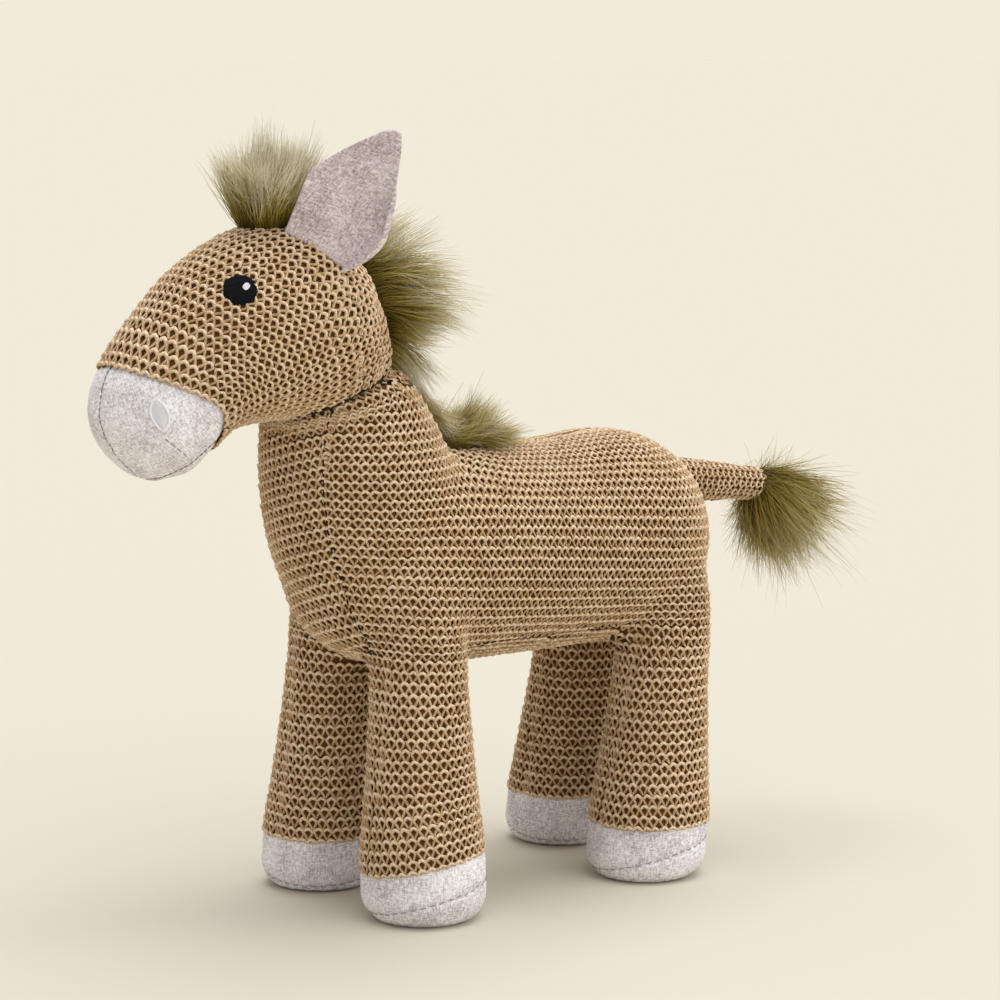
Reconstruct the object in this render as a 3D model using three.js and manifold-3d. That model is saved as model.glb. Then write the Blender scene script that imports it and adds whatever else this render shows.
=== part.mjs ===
// A stuffed, knitted toy donkey standing on four legs.
// Millimetres. +X points forward, +Y to the toy's left, +Z up, and the floor is z = 0.
// The origin is on the floor under the middle of the toy's box.

import * as THREE from "three";
import { mergeVertices } from "three/addons/utils/BufferGeometryUtils.js";
import Module from "manifold-3d";

const wasm = await Module();
wasm.setup();

// Covers and clearances
const coverThickness = 2; // knit or linen with its lining
const seamGap = 0.3; // between pieces that stay together
const flexGap = 0.9; // between stuffed parts that turn on each other
const weldDistance = 0.001; // corners closer than this are one corner

// Stance
const wheelBase = 112; // front hoof to hind hoof
const frontHoofSpread = 66; // left hoof to right hoof
const hindHoofSpread = 66;
const frontHipSpread = 52; // left hip to right hip
const hindHipSpread = 49;
const frontHipSetBack = 3; // the hip stands this far behind its hoof
const hindHipSetBack = 11;
const hindStride = 12; // the right hind hoof stands this far behind the left one

// Legs and hooves
const hipHeight = 96; // the line that a leg swings about
const hipRadius = 24; // round end of the body that the leg turns on
const thighRise = 32; // how far the thigh runs up into the trunk
const legTopDiameter = 35.5;
const legFlare = 1.6; // how late the leg widens towards the hoof
const hoofDiameter = 47;
const hoofHeight = 21.5;
const hoofAskew = 8; // degrees that the near front hoof's seam climbs backward, and as much outward
const hoofRounding = 10; // height over which the hoof rounds in to its sole
const soleHeight = 8; // seam between hoof wall and sole, at the middle of the leg
const soleTilt = 15; // degrees that this seam climbs backward and outward
const soleFlatDiameter = 30; // flat underside that the toy stands on

// Trunk
const backHeight = 169;
const bellyHeight = 87.5;
const trunkWidth = 87;
const rumpReach = 28; // behind the hind hips
const chestReach = 34; // ahead of the front hips

// Seams of the trunk cover
const bellySeamHeight = 98; // top edge of the belly gusset on the flank
const bellyGussetWidth = 72;
const chestGussetWidth = 40;
const gussetOverlap = 12; // how far the gussets run past the hips

// Neck, a round stalk whose top is a ball face for the head to turn on
const neckPivotAhead = 9.5; // ahead of the front hips
const neckPivotHeight = 160;
const neckLean = 16; // degrees forward
const neckBallRadius = 42;
const neckTopDiameter = 56;
const neckFootDiameter = 73;
const neckFootDepth = 50; // the rounded foot of the neck below the pivot
const neckOverrun = 20; // extra length that the ball face trims
const seamCordDiameter = 1;
const seamCordInset = 1.05; // middle of the cord below the skin

// Head and muzzle
const neckToHead = 62; // neck pivot to the middle of the skull
const headLength = 108; // back of the head to the end of the muzzle, level
const headBehind = 26; // part of that length behind the neck line
const headDrop = 48.5; // how far the muzzle hangs below the skull
const headHeight = 76;
const headWidth = 72;
const muzzleSeamAt = 0.786; // share of the head's length where the seam turns at the cheek
const muzzleSeamRise = 2; // that turn above the middle of the head
const muzzleTopTilt = 27; // degrees that the seam over the nose leans forward
const muzzleJawTilt = 21; // degrees that the seam under the jaw leans forward
const chinHeight = 14; // height of the chin panel
const backSeamAhead = 3; // seam behind the cheek, ahead of the neck line
const backSeamTilt = 10; // degrees

// Face
const eyeAhead = 46.5; // from the neck line
const eyeUp = 12.5; // above the middle of the skull
const eyeDiameter = 12.6;
const eyeThickness = 1.6;
const glintDiameter = 2.6;
const glintThickness = 0.7;
const glintShift = 2.2; // up and back from the middle of the eye
const nostrilAhead = 80;
const nostrilUp = -28;
const nostrilLength = 12;
const nostrilWidth = 6.5;
const nostrilThickness = 1.3;

// Ears
const earAhead = 12; // root of the ear, from the neck line
const earOut = 20; // from the middle plane
const earBack = 22; // tip of the left ear from its root: backward, outward and upward
const earSpread = 20;
const earRise = 37;
const restingEarBack = 28; // tip of the right ear, which leans out further
const restingEarSpread = 28;
const restingEarRise = 26;
const earRootBack = 20; // direction of the sewn root
const earRootOut = 12;
const earWidth = 33;
const earCup = 5; // how far the rims curl forward
const earLayer = 1.4; // one layer of linen with its lining

// Fur
const forelockAhead = 22; // middle of the tuft, from the neck line
const forelockHeight = 35;
const forelockWidth = 33;
const forelockRoot = 17;
const maneThickness = 20;
const maneLength = 34; // from the skin to the tips
const maneHeight = 57; // of the tuft behind the head
const maneRoot = 26; // how far its root runs forward on the head
const withersBehind = 13; // the lower tuft starts this far behind the neck's foot
const withersHeight = 26; // of the lower tuft
const tasselLength = 52;
const tasselWidth = 54;
const tasselDroop = 24; // degrees below the tail

// Tail
const tailHeight = 147;
const tailLength = 48;
const tailRootDiameter = 16.4;
const tailTipDiameter = 11;
const tailDroop = 7; // degrees
const tailGive = 14; // degrees that it can be pressed down towards the rump
const tailBallRadius = 10;

// Lines that follow from the sizes above
const frontHipX = wheelBase / 2 - frontHipSetBack;
const hindHipX = -wheelBase / 2 - hindHipSetBack;
const neckTilt = THREE.MathUtils.degToRad(neckLean);
const neckPivot = new THREE.Vector3(frontHipX + neckPivotAhead, 0, neckPivotHeight);
const neckAxis = new THREE.Vector3(Math.sin(neckTilt), 0, Math.cos(neckTilt));
const headMiddle = neckPivot.clone().addScaledVector(neckAxis, neckToHead);

// Materials
const knit = { color: 0xb0906c, roughness: 0.95, metalness: 0 };
const linen = { color: 0xdccdc6, roughness: 0.9, metalness: 0 };
const fur = { color: 0x75672f, roughness: 0.85, metalness: 0 };
const fibre = { color: 0xf0eee8, roughness: 1, metalness: 0 };
const blackThread = { color: 0x0b0a10, roughness: 0.55, metalness: 0 };
const whiteThread = { color: 0xf4f1ee, roughness: 0.6, metalness: 0 };
const seamThread = { color: 0x6b5238, roughness: 0.9, metalness: 0 };

// A closed geometry as a solid that can be joined and cut.
function solid(geometry) {
  const bare = new THREE.BufferGeometry();
  bare.setAttribute("position", geometry.getAttribute("position"));
  bare.setIndex(geometry.index);
  const welded = mergeVertices(bare, weldDistance);
  const corners = welded.index.array;
  const spots = welded.attributes.position;
  const [a, b, c] = [new THREE.Vector3(), new THREE.Vector3(), new THREE.Vector3()];
  const triangles = [];
  let volume = 0;
  for (let i = 0; i < corners.length; i += 3) {
    const [p, q, r] = [corners[i], corners[i + 1], corners[i + 2]];
    if (p === q || q === r || r === p) continue;
    triangles.push(p, q, r);
    a.fromBufferAttribute(spots, p);
    b.fromBufferAttribute(spots, q);
    c.fromBufferAttribute(spots, r);
    volume += a.dot(b.cross(c));
  }
  if (volume < 0) triangles.reverse();
  const mesh = new wasm.Mesh({
    numProp: 3,
    vertProperties: spots.array,
    triVerts: new Uint32Array(triangles),
  });
  return new wasm.Manifold(mesh);
}

// All of these solids as one.
function joined(...bodies) {
  return bodies.reduce((sum, body) => sum.add(body));
}

// A rectangular block between two corners.
function block(low, high) {
  const size = high.map((value, i) => value - low[i]);
  const middle = high.map((value, i) => (value + low[i]) / 2);
  return solid(new THREE.BoxGeometry(...size).translate(...middle));
}

// Everything on one side of a plane, as a large block.
function beyond(point, normal, reach = 1000) {
  const turn = new THREE.Quaternion().setFromUnitVectors(new THREE.Vector3(0, 0, 1), normal);
  const geometry = new THREE.BoxGeometry(reach, reach, reach).translate(0, 0, reach / 2);
  return solid(geometry.applyQuaternion(turn).translate(point.x, point.y, point.z));
}

function ball(centre, radius, segments = 24) {
  const geometry = new THREE.SphereGeometry(radius, segments, segments / 2);
  return solid(geometry.translate(centre.x, centre.y, centre.z));
}

// A closed skin through oval rings, from a start point to an end point.
// Each ring has a centre and three half-axes: across, up and down.
function loft(rings, start, end, sides) {
  const points = [start];
  for (const { centre, across, up, down } of rings) {
    for (let i = 0; i < sides; i++) {
      const angle = (2 * Math.PI * i) / sides;
      const rise = Math.sin(angle);
      const point = centre.clone().addScaledVector(across, Math.cos(angle));
      points.push(point.addScaledVector(rise > 0 ? up : down, Math.abs(rise)));
    }
  }
  points.push(end);
  const last = points.length - 1;
  const index = [];
  for (let i = 0; i < sides; i++) {
    const next = (i + 1) % sides;
    index.push(0, 1 + next, 1 + i);
    for (let ring = 0; ring < rings.length - 1; ring++) {
      const near = 1 + ring * sides;
      const far = near + sides;
      index.push(near + i, near + next, far + next);
      index.push(near + i, far + next, far + i);
    }
    const rim = 1 + (rings.length - 1) * sides;
    index.push(rim + i, rim + next, last);
  }
  const geometry = new THREE.BufferGeometry().setFromPoints(points);
  geometry.setIndex(index);
  return geometry;
}

// A table of numbers read smoothly: `count` rows on a spline through the rows given.
function smoothRows(rows, count) {
  const last = rows.length - 1;
  return Array.from({ length: count }, (_, i) => {
    const at = (i / (count - 1)) * last;
    const k = Math.min(Math.floor(at), last - 1);
    const t = at - k;
    const [before, here, there, after] = [k - 1, k, k + 1, k + 2].map(
      (row) => rows[THREE.MathUtils.clamp(row, 0, last)],
    );
    return here.map((value, j) => {
      const leave = (there[j] - before[j]) / 2;
      const arrive = (after[j] - value) / 2;
      const rise = there[j] - value;
      const bend = 3 * rise - 2 * leave - arrive;
      const twist = leave + arrive - 2 * rise;
      return value + t * (leave + t * (bend + t * twist));
    });
  });
}

// Trunk: share of the length, then rise, drop and half-width as shares of their largest.
const trunkRows = [
  [0.012, 0.34, 0.34, 0.3],
  [0.035, 0.58, 0.58, 0.54],
  [0.08, 0.79, 0.79, 0.77],
  [0.14, 0.94, 0.92, 0.92],
  [0.235, 1.01, 0.99, 1],
  [0.38, 0.96, 1, 0.99],
  [0.54, 0.97, 1, 0.97],
  [0.7, 1.01, 0.99, 0.95],
  [0.83, 0.97, 0.93, 0.89],
  [0.925, 0.76, 0.74, 0.71],
  [0.975, 0.48, 0.48, 0.45],
];

function trunk(inset) {
  const length = chestReach + frontHipX - hindHipX + rumpReach;
  const rumpX = hindHipX - rumpReach;
  const middle = (backHeight + bellyHeight) / 2;
  const halfDepth = (backHeight - bellyHeight) / 2;
  const rings = smoothRows(trunkRows, 11).map(([along, rise, drop, half]) => ({
    centre: new THREE.Vector3(rumpX + along * length, 0, middle),
    across: new THREE.Vector3(0, (half * trunkWidth) / 2 - inset, 0),
    up: new THREE.Vector3(0, 0, rise * halfDepth - inset),
    down: new THREE.Vector3(0, 0, inset - drop * halfDepth),
  }));
  const start = new THREE.Vector3(rumpX + inset, 0, middle);
  const end = new THREE.Vector3(rumpX + length - inset, 0, middle);
  return solid(loft(rings, start, end, 14));
}

// The neck as a turned shape on its own leaning line.
function neck(inset) {
  const seamRise = Math.sqrt(neckBallRadius ** 2 - (neckTopDiameter / 2) ** 2);
  const [foot, top] = [neckFootDiameter / 2 - inset, neckTopDiameter / 2 - inset];
  const depth = neckFootDepth - inset;
  const profile = [
    [0, -depth],
    [foot * 0.55, -depth * 0.94],
    [foot * 0.88, -depth * 0.76],
    [foot, -depth * 0.46],
    [foot * 0.95 + top * 0.05, -depth * 0.1],
    [foot * 0.62 + top * 0.38, seamRise * 0.4],
    [foot * 0.25 + top * 0.75, seamRise * 0.75],
    [top, seamRise],
    [top, seamRise + neckOverrun],
    [0, seamRise + neckOverrun],
  ];
  const geometry = new THREE.LatheGeometry(profile.map(([r, z]) => new THREE.Vector2(r, z)), 14);
  geometry.rotateX(Math.PI / 2);
  geometry.rotateY(neckTilt);
  return solid(geometry.translate(neckPivot.x, neckPivot.y, neckPivot.z));
}

// Head: share of the length and of the drop, then up, down and half-width as shares of half the largest.
const headRows = [
  [0.03, 0, 0.26, 0.42, 0.36],
  [0.1, 0, 0.5, 0.74, 0.62],
  [0.2, 0.01, 0.78, 0.9, 0.82],
  [0.32, 0.05, 1.02, 0.92, 0.96],
  [0.447, 0.127, 1.06, 0.83, 1],
  [0.603, 0.275, 1, 0.66, 0.95],
  [0.74, 0.451, 0.88, 0.5, 0.84],
  [0.84, 0.627, 0.8, 0.51, 0.75],
  [0.922, 0.804, 0.66, 0.5, 0.66],
  [0.975, 0.94, 0.4, 0.34, 0.43],
];

// A point on the line through the middle of the head.
function headLine(along, drop) {
  const x = headMiddle.x - headBehind + along * headLength;
  return new THREE.Vector3(x, 0, headMiddle.z - drop * headDrop);
}

function headSkin(inset) {
  const rows = smoothRows(headRows, 11);
  const middles = rows.map(([along, drop]) => headLine(along, drop));
  const rings = rows.map(([, , up, down, half], i) => {
    const before = middles[Math.max(i - 1, 0)];
    const after = middles[Math.min(i + 1, middles.length - 1)];
    const heading = after.clone().sub(before).normalize();
    const upward = new THREE.Vector3(-heading.z, 0, heading.x);
    return {
      centre: middles[i],
      across: new THREE.Vector3(0, (half * headWidth) / 2 - inset, 0),
      up: upward.clone().multiplyScalar((up * headHeight) / 2 - inset),
      down: upward.clone().multiplyScalar(inset - (down * headHeight) / 2),
    };
  });
  const start = headLine(0, 0).add(new THREE.Vector3(inset, 0, 0));
  const end = headLine(1, 1);
  end.addScaledVector(middles[middles.length - 1].clone().sub(end).normalize(), inset);
  return loft(rings, start, end, 16);
}

function head(inset) {
  return solid(headSkin(inset));
}

// Where a line meets the head's skin, and the skin's direction there.
const headTarget = new THREE.Mesh(headSkin(0), new THREE.MeshBasicMaterial({ side: THREE.DoubleSide }));
function onHead(from, toward) {
  const aim = toward.clone().sub(from).normalize();
  const [hit] = new THREE.Raycaster(from, aim).intersectObject(headTarget);
  const normal = hit.face.normal.clone();
  if (normal.dot(aim) > 0) normal.negate();
  return { point: hit.point, normal };
}

// One leg's middle line from hoof to hip, and its round sections.
function legLine(leg, height) {
  const share = Math.min(1, height / hipHeight);
  const x = THREE.MathUtils.lerp(leg.hoofX, leg.hipX, share);
  const y = THREE.MathUtils.lerp(leg.hoofY, leg.hipY, share);
  return new THREE.Vector3(x, y, height);
}

function legRadius(height) {
  const [hoof, top, sole] = [hoofDiameter / 2, legTopDiameter / 2, soleFlatDiameter / 2];
  if (height < hoofRounding) {
    const share = 1 - height / hoofRounding;
    return sole + (hoof - sole) * Math.sqrt(1 - share * share);
  }
  const share = Math.max(0, (height - hoofHeight) / (hipHeight - hoofHeight));
  if (share > 1) return top * (1 - 0.3 * ((height - hipHeight) / thighRise) ** 2);
  return top + (hoof - top) * Math.pow(1 - share, legFlare);
}

function legBody(leg, inset) {
  const hoof = [0, 0.09, 0.38, 1].map((share) => share * hoofRounding);
  const shank = [0, 0.4, 1].map((share) => THREE.MathUtils.lerp(hoofHeight, hipHeight, share));
  const rings = [...hoof, ...shank, hipHeight + thighRise].map((height) => {
    const lifted = height === 0 ? inset : Math.max(height, inset + height * 0.5);
    const radius = legRadius(height) - inset;
    return {
      centre: legLine(leg, lifted),
      across: new THREE.Vector3(radius, 0, 0),
      up: new THREE.Vector3(0, radius, 0),
      down: new THREE.Vector3(0, -radius, 0),
    };
  });
  return solid(loft(rings, rings[0].centre, rings[rings.length - 1].centre, 12));
}

// The round face that a leg turns on, across the toy at one hip.
function hipRoller(leg, radius) {
  const geometry = new THREE.CylinderGeometry(radius, radius, legTopDiameter * 2, 18);
  return solid(geometry.translate(leg.hipX, leg.hipY, hipHeight));
}

const legs = [
  ["front_left", frontHipX, wheelBase / 2, frontHipSpread / 2, frontHoofSpread / 2],
  ["front_right", frontHipX, wheelBase / 2, -frontHipSpread / 2, -frontHoofSpread / 2],
  ["hind_left", hindHipX, (hindStride - wheelBase) / 2, hindHipSpread / 2, hindHoofSpread / 2],
  ["hind_right", hindHipX, (-hindStride - wheelBase) / 2, -hindHipSpread / 2, -hindHoofSpread / 2],
].map(([name, hipX, hoofX, hipY, hoofY]) => ({ name, hipX, hoofX, hipY, hoofY }));

const upward = new THREE.Vector3(0, 0, 1);

// A leg ends below the round face, and the body keeps what is above it.
function legOnly(leg, inset) {
  const above = beyond(new THREE.Vector3(0, 0, hipHeight), upward);
  return legBody(leg, inset).subtract(hipRoller(leg, hipRadius + flexGap)).subtract(above);
}

function legStub(leg, inset) {
  const above = beyond(new THREE.Vector3(0, 0, hipHeight), upward);
  return legBody(leg, inset).intersect(hipRoller(leg, hipRadius).add(above));
}

// The trunk with its neck and the four stubs that the legs turn on.
// Under the cover the neck stops short, so that the seam cord can pass over it.
function wholeBody(inset) {
  const stubs = legs.map((leg) => legStub(leg, inset));
  const face = ball(neckPivot, neckBallRadius - inset * 0.4, inset > 0 ? 18 : 22);
  return joined(trunk(inset), neck(inset).intersect(face), ...stubs);
}

// The same without its ends trimmed, which leaves the cover open there.
function bodyInside(inset) {
  return joined(trunk(inset), neck(inset), ...legs.map((leg) => legBody(leg, inset)));
}

// The tail is a tube on a ball root, and its tip is a ball that the tassel turns on.
function tailWay(droop) {
  const tilt = THREE.MathUtils.degToRad(droop);
  return new THREE.Vector3(-Math.cos(tilt), 0, -Math.sin(tilt));
}
const tailAxis = tailWay(tailDroop);
const rumpTarget = new THREE.Vector3(hindHipX - rumpReach, 0, tailHeight);
const tailRoot = new THREE.Vector3(rumpTarget.x + tailBallRadius * 0.75, 0, tailHeight);
const tailTip = tailRoot.clone().addScaledVector(tailAxis, tailLength);

function tail(inset) {
  const [rootRadius, tipRadius] = [tailRootDiameter / 2 - inset, tailTipDiameter / 2 - inset];
  const ballRadius = tailBallRadius - inset;
  const profile = [];
  const leave = Math.asin(rootRadius / ballRadius);
  for (let i = 0; i <= 5; i++) {
    const angle = ((Math.PI - leave) * i) / 5;
    profile.push(new THREE.Vector2(ballRadius * Math.sin(angle), -ballRadius * Math.cos(angle)));
  }
  for (const share of [0.45, 0.75]) {
    const radius = THREE.MathUtils.lerp(rootRadius, tipRadius, share);
    profile.push(new THREE.Vector2(radius, tailLength * share));
  }
  for (let i = 0; i <= 3; i++) {
    const angle = (Math.PI / 2) * (i / 3);
    const along = tailLength + tipRadius * Math.sin(angle);
    profile.push(new THREE.Vector2(tipRadius * Math.cos(angle), along));
  }
  const geometry = new THREE.LatheGeometry(profile, 12);
  return along(geometry, tailRoot, tailAxis);
}

// A shape turned about +Y, laid along a direction from a point.
function along(geometry, point, direction) {
  const turn = new THREE.Quaternion().setFromUnitVectors(new THREE.Vector3(0, 1, 0), direction);
  return solid(geometry.applyQuaternion(turn).translate(point.x, point.y, point.z));
}

const part = new THREE.Group();
part.name = "stuffed_donkey";
const toy = new THREE.Group();
part.add(toy);

// Puts a finished solid into the toy under its name.
function add(name, body, look) {
  const made = body.getMesh();
  const geometry = new THREE.BufferGeometry();
  geometry.setAttribute("position", new THREE.BufferAttribute(made.vertProperties, made.numProp));
  geometry.setIndex(Array.from(made.triVerts));
  geometry.computeVertexNormals();
  const mesh = new THREE.Mesh(geometry, new THREE.MeshStandardMaterial(look));
  mesh.name = name;
  toy.add(mesh);
}

// Legs: a knit cover of two panels, a linen hoof of wall and sole, and filling inside.
for (const leg of legs) {
  const cover = legOnly(leg, 0).subtract(legBody(leg, coverThickness));
  const outward = Math.sign(leg.hipY);
  const seamY = (leg.hipY + leg.hoofY) / 2;
  const side = new THREE.Vector3(0, outward, 0);
  const seam = (shift) => new THREE.Vector3(0, seamY + outward * shift, 0);
  const level = (height) => new THREE.Vector3(leg.hoofX, leg.hoofY, height);
  const askew = leg.name === "front_left" ? Math.tan(THREE.MathUtils.degToRad(hoofAskew)) : 0;
  const cuff = new THREE.Vector3(askew, -askew, 1).normalize();
  const shank = cover.intersect(beyond(level(hoofHeight + seamGap / 2), cuff));
  add(`leg_${leg.name}_outer`, shank.intersect(beyond(seam(seamGap / 2), side)), knit);
  const inner = shank.intersect(beyond(seam(-seamGap / 2), side.clone().negate()));
  add(`leg_${leg.name}_inner`, inner, knit);
  const hoof = cover.intersect(beyond(level(hoofHeight - seamGap / 2), cuff.clone().negate()));
  const climb = Math.tan(THREE.MathUtils.degToRad(soleTilt)) * Math.SQRT1_2;
  const soleUp = new THREE.Vector3(climb, -outward * climb, 1).normalize();
  const wall = hoof.intersect(beyond(level(soleHeight + seamGap / 2), soleUp));
  add(`hoof_${leg.name}_wall`, wall, linen);
  const sole = hoof.intersect(beyond(level(soleHeight - seamGap / 2), soleUp.clone().negate()));
  add(`hoof_${leg.name}_sole`, sole, linen);
  add(`leg_${leg.name}_filling`, legOnly(leg, coverThickness + seamGap), fibre);
}

// Seam cord between neck and head, in a groove that both share.
const cordRing = neckTopDiameter / 2 - seamCordInset;
const cordBall = neckBallRadius + flexGap / 2;
const cordRise = Math.sqrt(cordBall ** 2 - cordRing ** 2);
function seamCord(grow) {
  const geometry = new THREE.TorusGeometry(cordRing, seamCordDiameter / 2 + grow, 5, 24);
  geometry.rotateY(neckTilt);
  const middle = neckPivot.clone().addScaledVector(neckAxis, cordRise);
  return solid(geometry.translate(middle.x, middle.y, middle.z));
}
add("neck_seam_cord", seamCord(0), seamThread);
const cordGroove = seamCord(seamGap);

// Trunk cover, cut into its panels, and the filling.
const tailRoom = tailRootDiameter / 2 + flexGap;
const tailSlot = new THREE.CylinderGeometry(tailRoom, tailRoom, tailLength, 12);
tailSlot.translate(0, tailLength / 2, 0);
const tailLowered = along(tailSlot, tailRoot, tailWay(tailDroop + tailGive));
const tailSocket = ball(tailRoot, tailBallRadius + flexGap, 20).add(tailLowered);
const bodyCover = wholeBody(0).subtract(bodyInside(coverThickness)).subtract(tailSocket).subtract(cordGroove);

function bellyRegion(grow) {
  const rear = hindHipX - gussetOverlap - grow;
  const front = frontHipX + chestReach + gussetOverlap;
  const clear = legTopDiameter / 2 + 5;
  const wide = bellyGussetWidth / 2 + grow;
  const side = [
    [rear, hindHipSpread / 2 - gussetOverlap + grow],
    [hindHipX, hindHipSpread / 2 + grow],
    [hindHipX + clear, wide],
    [frontHipX - clear, wide],
    [frontHipX, frontHipSpread / 2 + grow],
    [front, chestGussetWidth / 2 + grow],
  ];
  const outline = [...side, ...side.map(([x, y]) => [x, -y]).reverse()];
  const shape = new THREE.Shape(outline.map(([x, y]) => new THREE.Vector2(x, y)));
  const foot = hipHeight - hipRadius - 10;
  const depth = bellySeamHeight + grow - foot;
  const geometry = new THREE.ExtrudeGeometry(shape, { depth, bevelEnabled: false });
  return solid(geometry.translate(0, 0, foot));
}

function chestRegion(grow) {
  const half = chestGussetWidth / 2 + grow;
  const foot = bellySeamHeight + seamGap - grow;
  const ahead = frontHipX + chestReach * 4;
  const top = neckPivotHeight + neckToHead * 2;
  return block([frontHipX + chestReach * 0.12, -half, foot], [ahead, half, top]);
}

add("belly_gusset", bodyCover.intersect(bellyRegion(0)), knit);
add("chest_gusset", bodyCover.intersect(chestRegion(0)), knit);
const sides = bodyCover.subtract(bellyRegion(seamGap)).subtract(chestRegion(seamGap));
const leftward = new THREE.Vector3(0, 1, 0);
const rightward = new THREE.Vector3(0, -1, 0);
const backSeam = new THREE.Vector3(0, seamGap / 2, 0);
add("body_side_left", sides.intersect(beyond(backSeam, leftward)), knit);
add("body_side_right", sides.intersect(beyond(backSeam.clone().negate(), rightward)), knit);
add("body_filling", wholeBody(coverThickness + seamGap).subtract(tailSocket), fibre);

// Head cover, muzzle panels and filling.
const headSocket = ball(neckPivot, neckBallRadius + flexGap, 22);
const headCover = head(0).subtract(head(coverThickness)).subtract(headSocket).subtract(cordGroove);
const seamRow = headRows.findIndex(([share]) => share > muzzleSeamAt);
const [rowBefore, rowAfter] = [headRows[seamRow - 1], headRows[seamRow]];
const seamShare = (muzzleSeamAt - rowBefore[0]) / (rowAfter[0] - rowBefore[0]);
const seamDrop = THREE.MathUtils.lerp(rowBefore[1], rowAfter[1], seamShare);
const muzzleSeam = headLine(muzzleSeamAt, seamDrop);
const muzzleWay = headLine(rowAfter[0], rowAfter[1]).sub(headLine(rowBefore[0], rowBefore[1])).normalize();
const chinUp = new THREE.Vector3(-muzzleWay.z, 0, muzzleWay.x);
muzzleSeam.addScaledVector(chinUp, muzzleSeamRise);

// The head in front of the muzzle seam, which runs forward above and below the cheek.
function inFront(shift) {
  const sides = [-muzzleTopTilt, muzzleJawTilt].map((degrees) => {
    const way = muzzleWay.clone().applyAxisAngle(leftward, -THREE.MathUtils.degToRad(degrees));
    return beyond(muzzleSeam.clone().addScaledVector(way, shift), way);
  });
  return sides[0].intersect(sides[1]);
}

const muzzleCover = headCover.intersect(inFront(seamGap / 2));
const knitCover = headCover.subtract(inFront(-seamGap / 2));

const gussetTilt = THREE.MathUtils.degToRad(backSeamTilt);
const backWay = new THREE.Vector3(-Math.cos(gussetTilt), 0, Math.sin(gussetTilt));
const cheekSeam = headMiddle.clone().add(new THREE.Vector3(backSeamAhead, 0, 0));
const backFrom = cheekSeam.clone().addScaledVector(backWay, seamGap / 2);
const cheekTo = cheekSeam.clone().addScaledVector(backWay, -seamGap / 2);
add("head_back_gusset", knitCover.intersect(beyond(backFrom, backWay)), knit);
add("head_face_cover", knitCover.intersect(beyond(cheekTo, backWay.clone().negate())), knit);

const chinLine = headLine(1, 1).addScaledVector(chinUp, chinHeight - (headHeight / 2) * 0.6);
const chinFrom = chinLine.clone().addScaledVector(chinUp, -seamGap / 2);
const cheeksFrom = chinLine.clone().addScaledVector(chinUp, seamGap / 2);
add("muzzle_chin", muzzleCover.intersect(beyond(chinFrom, chinUp.clone().negate())), linen);
const muzzleSides = muzzleCover.intersect(beyond(cheeksFrom, chinUp));
add("muzzle_left", muzzleSides.intersect(beyond(backSeam, leftward)), linen);
add("muzzle_right", muzzleSides.intersect(beyond(backSeam.clone().negate(), rightward)), linen);
add("head_filling", head(coverThickness + seamGap).subtract(headSocket), fibre);

// Embroidered eyes and nostrils, shaped to the skin beneath them.
const headGrown = head(-seamGap);

// A disc with a rounded rim, its middle on the skin.
function patch(spot, radius, thickness) {
  const sunk = radius * radius * 0.03 + 0.5;
  const profile = [
    [0, -sunk],
    [radius, -sunk],
    [radius, thickness * 0.5],
    [radius * 0.85, thickness],
    [0, thickness],
  ].map(([r, z]) => new THREE.Vector2(r, z));
  return along(new THREE.LatheGeometry(profile, 16), spot.point, spot.normal);
}

for (const [name, hand] of [["left", 1], ["right", -1]]) {
  const eyeLevel = headMiddle.clone().add(new THREE.Vector3(eyeAhead, 0, eyeUp));
  const eye = onHead(eyeLevel.clone().setY(hand * 100), eyeLevel);
  add(`eye_${name}`, patch(eye, eyeDiameter / 2, eyeThickness + seamGap).subtract(headGrown), blackThread);
  const upSkin = new THREE.Vector3(-2, 0, 1).projectOnPlane(eye.normal).normalize();
  const glint = eye.point.clone().addScaledVector(upSkin, glintShift);
  glint.addScaledVector(eye.normal, eyeThickness + 2 * seamGap);
  const disc = new THREE.CylinderGeometry(glintDiameter / 2, glintDiameter / 2, glintThickness, 10);
  disc.translate(0, glintThickness / 2, 0);
  add(`eye_glint_${name}`, along(disc, glint, eye.normal), whiteThread);

  const nostrilLevel = headMiddle.clone().add(new THREE.Vector3(nostrilAhead, 0, nostrilUp));
  const nostril = onHead(nostrilLevel.clone().setY(hand * 100), nostrilLevel);
  const leaf = new THREE.Shape();
  leaf.moveTo(-nostrilLength / 2, 0);
  leaf.quadraticCurveTo(0, nostrilWidth, nostrilLength / 2, 0);
  leaf.quadraticCurveTo(0, -nostrilWidth, -nostrilLength / 2, 0);
  const depth = nostrilThickness + seamGap + 2;
  const slab = new THREE.ExtrudeGeometry(leaf, { depth, bevelEnabled: false, curveSegments: 5 });
  const long = new THREE.Vector3(0.25, 0, 1).projectOnPlane(nostril.normal).normalize();
  const frame = new THREE.Matrix4().makeBasis(long, nostril.normal.clone().cross(long), nostril.normal);
  frame.setPosition(nostril.point.clone().addScaledVector(nostril.normal, -2));
  add(`nostril_${name}`, solid(slab.applyMatrix4(frame)).subtract(headGrown), whiteThread);
}

// Ears: two cupped layers each, on a straight sewn root that they bend about.
const earHinge = earLayer + seamGap * 2;
// Front edge and rear edge from root to tip, as shares of the width
const earRows = [
  [-0.33, 0.34],
  [-0.47, 0.47],
  [-0.56, 0.4],
  [-0.55, 0.27],
  [-0.41, 0.13],
  [-0.18, -0.03],
];
const earSteps = 6;
const earColumns = 6;

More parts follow.
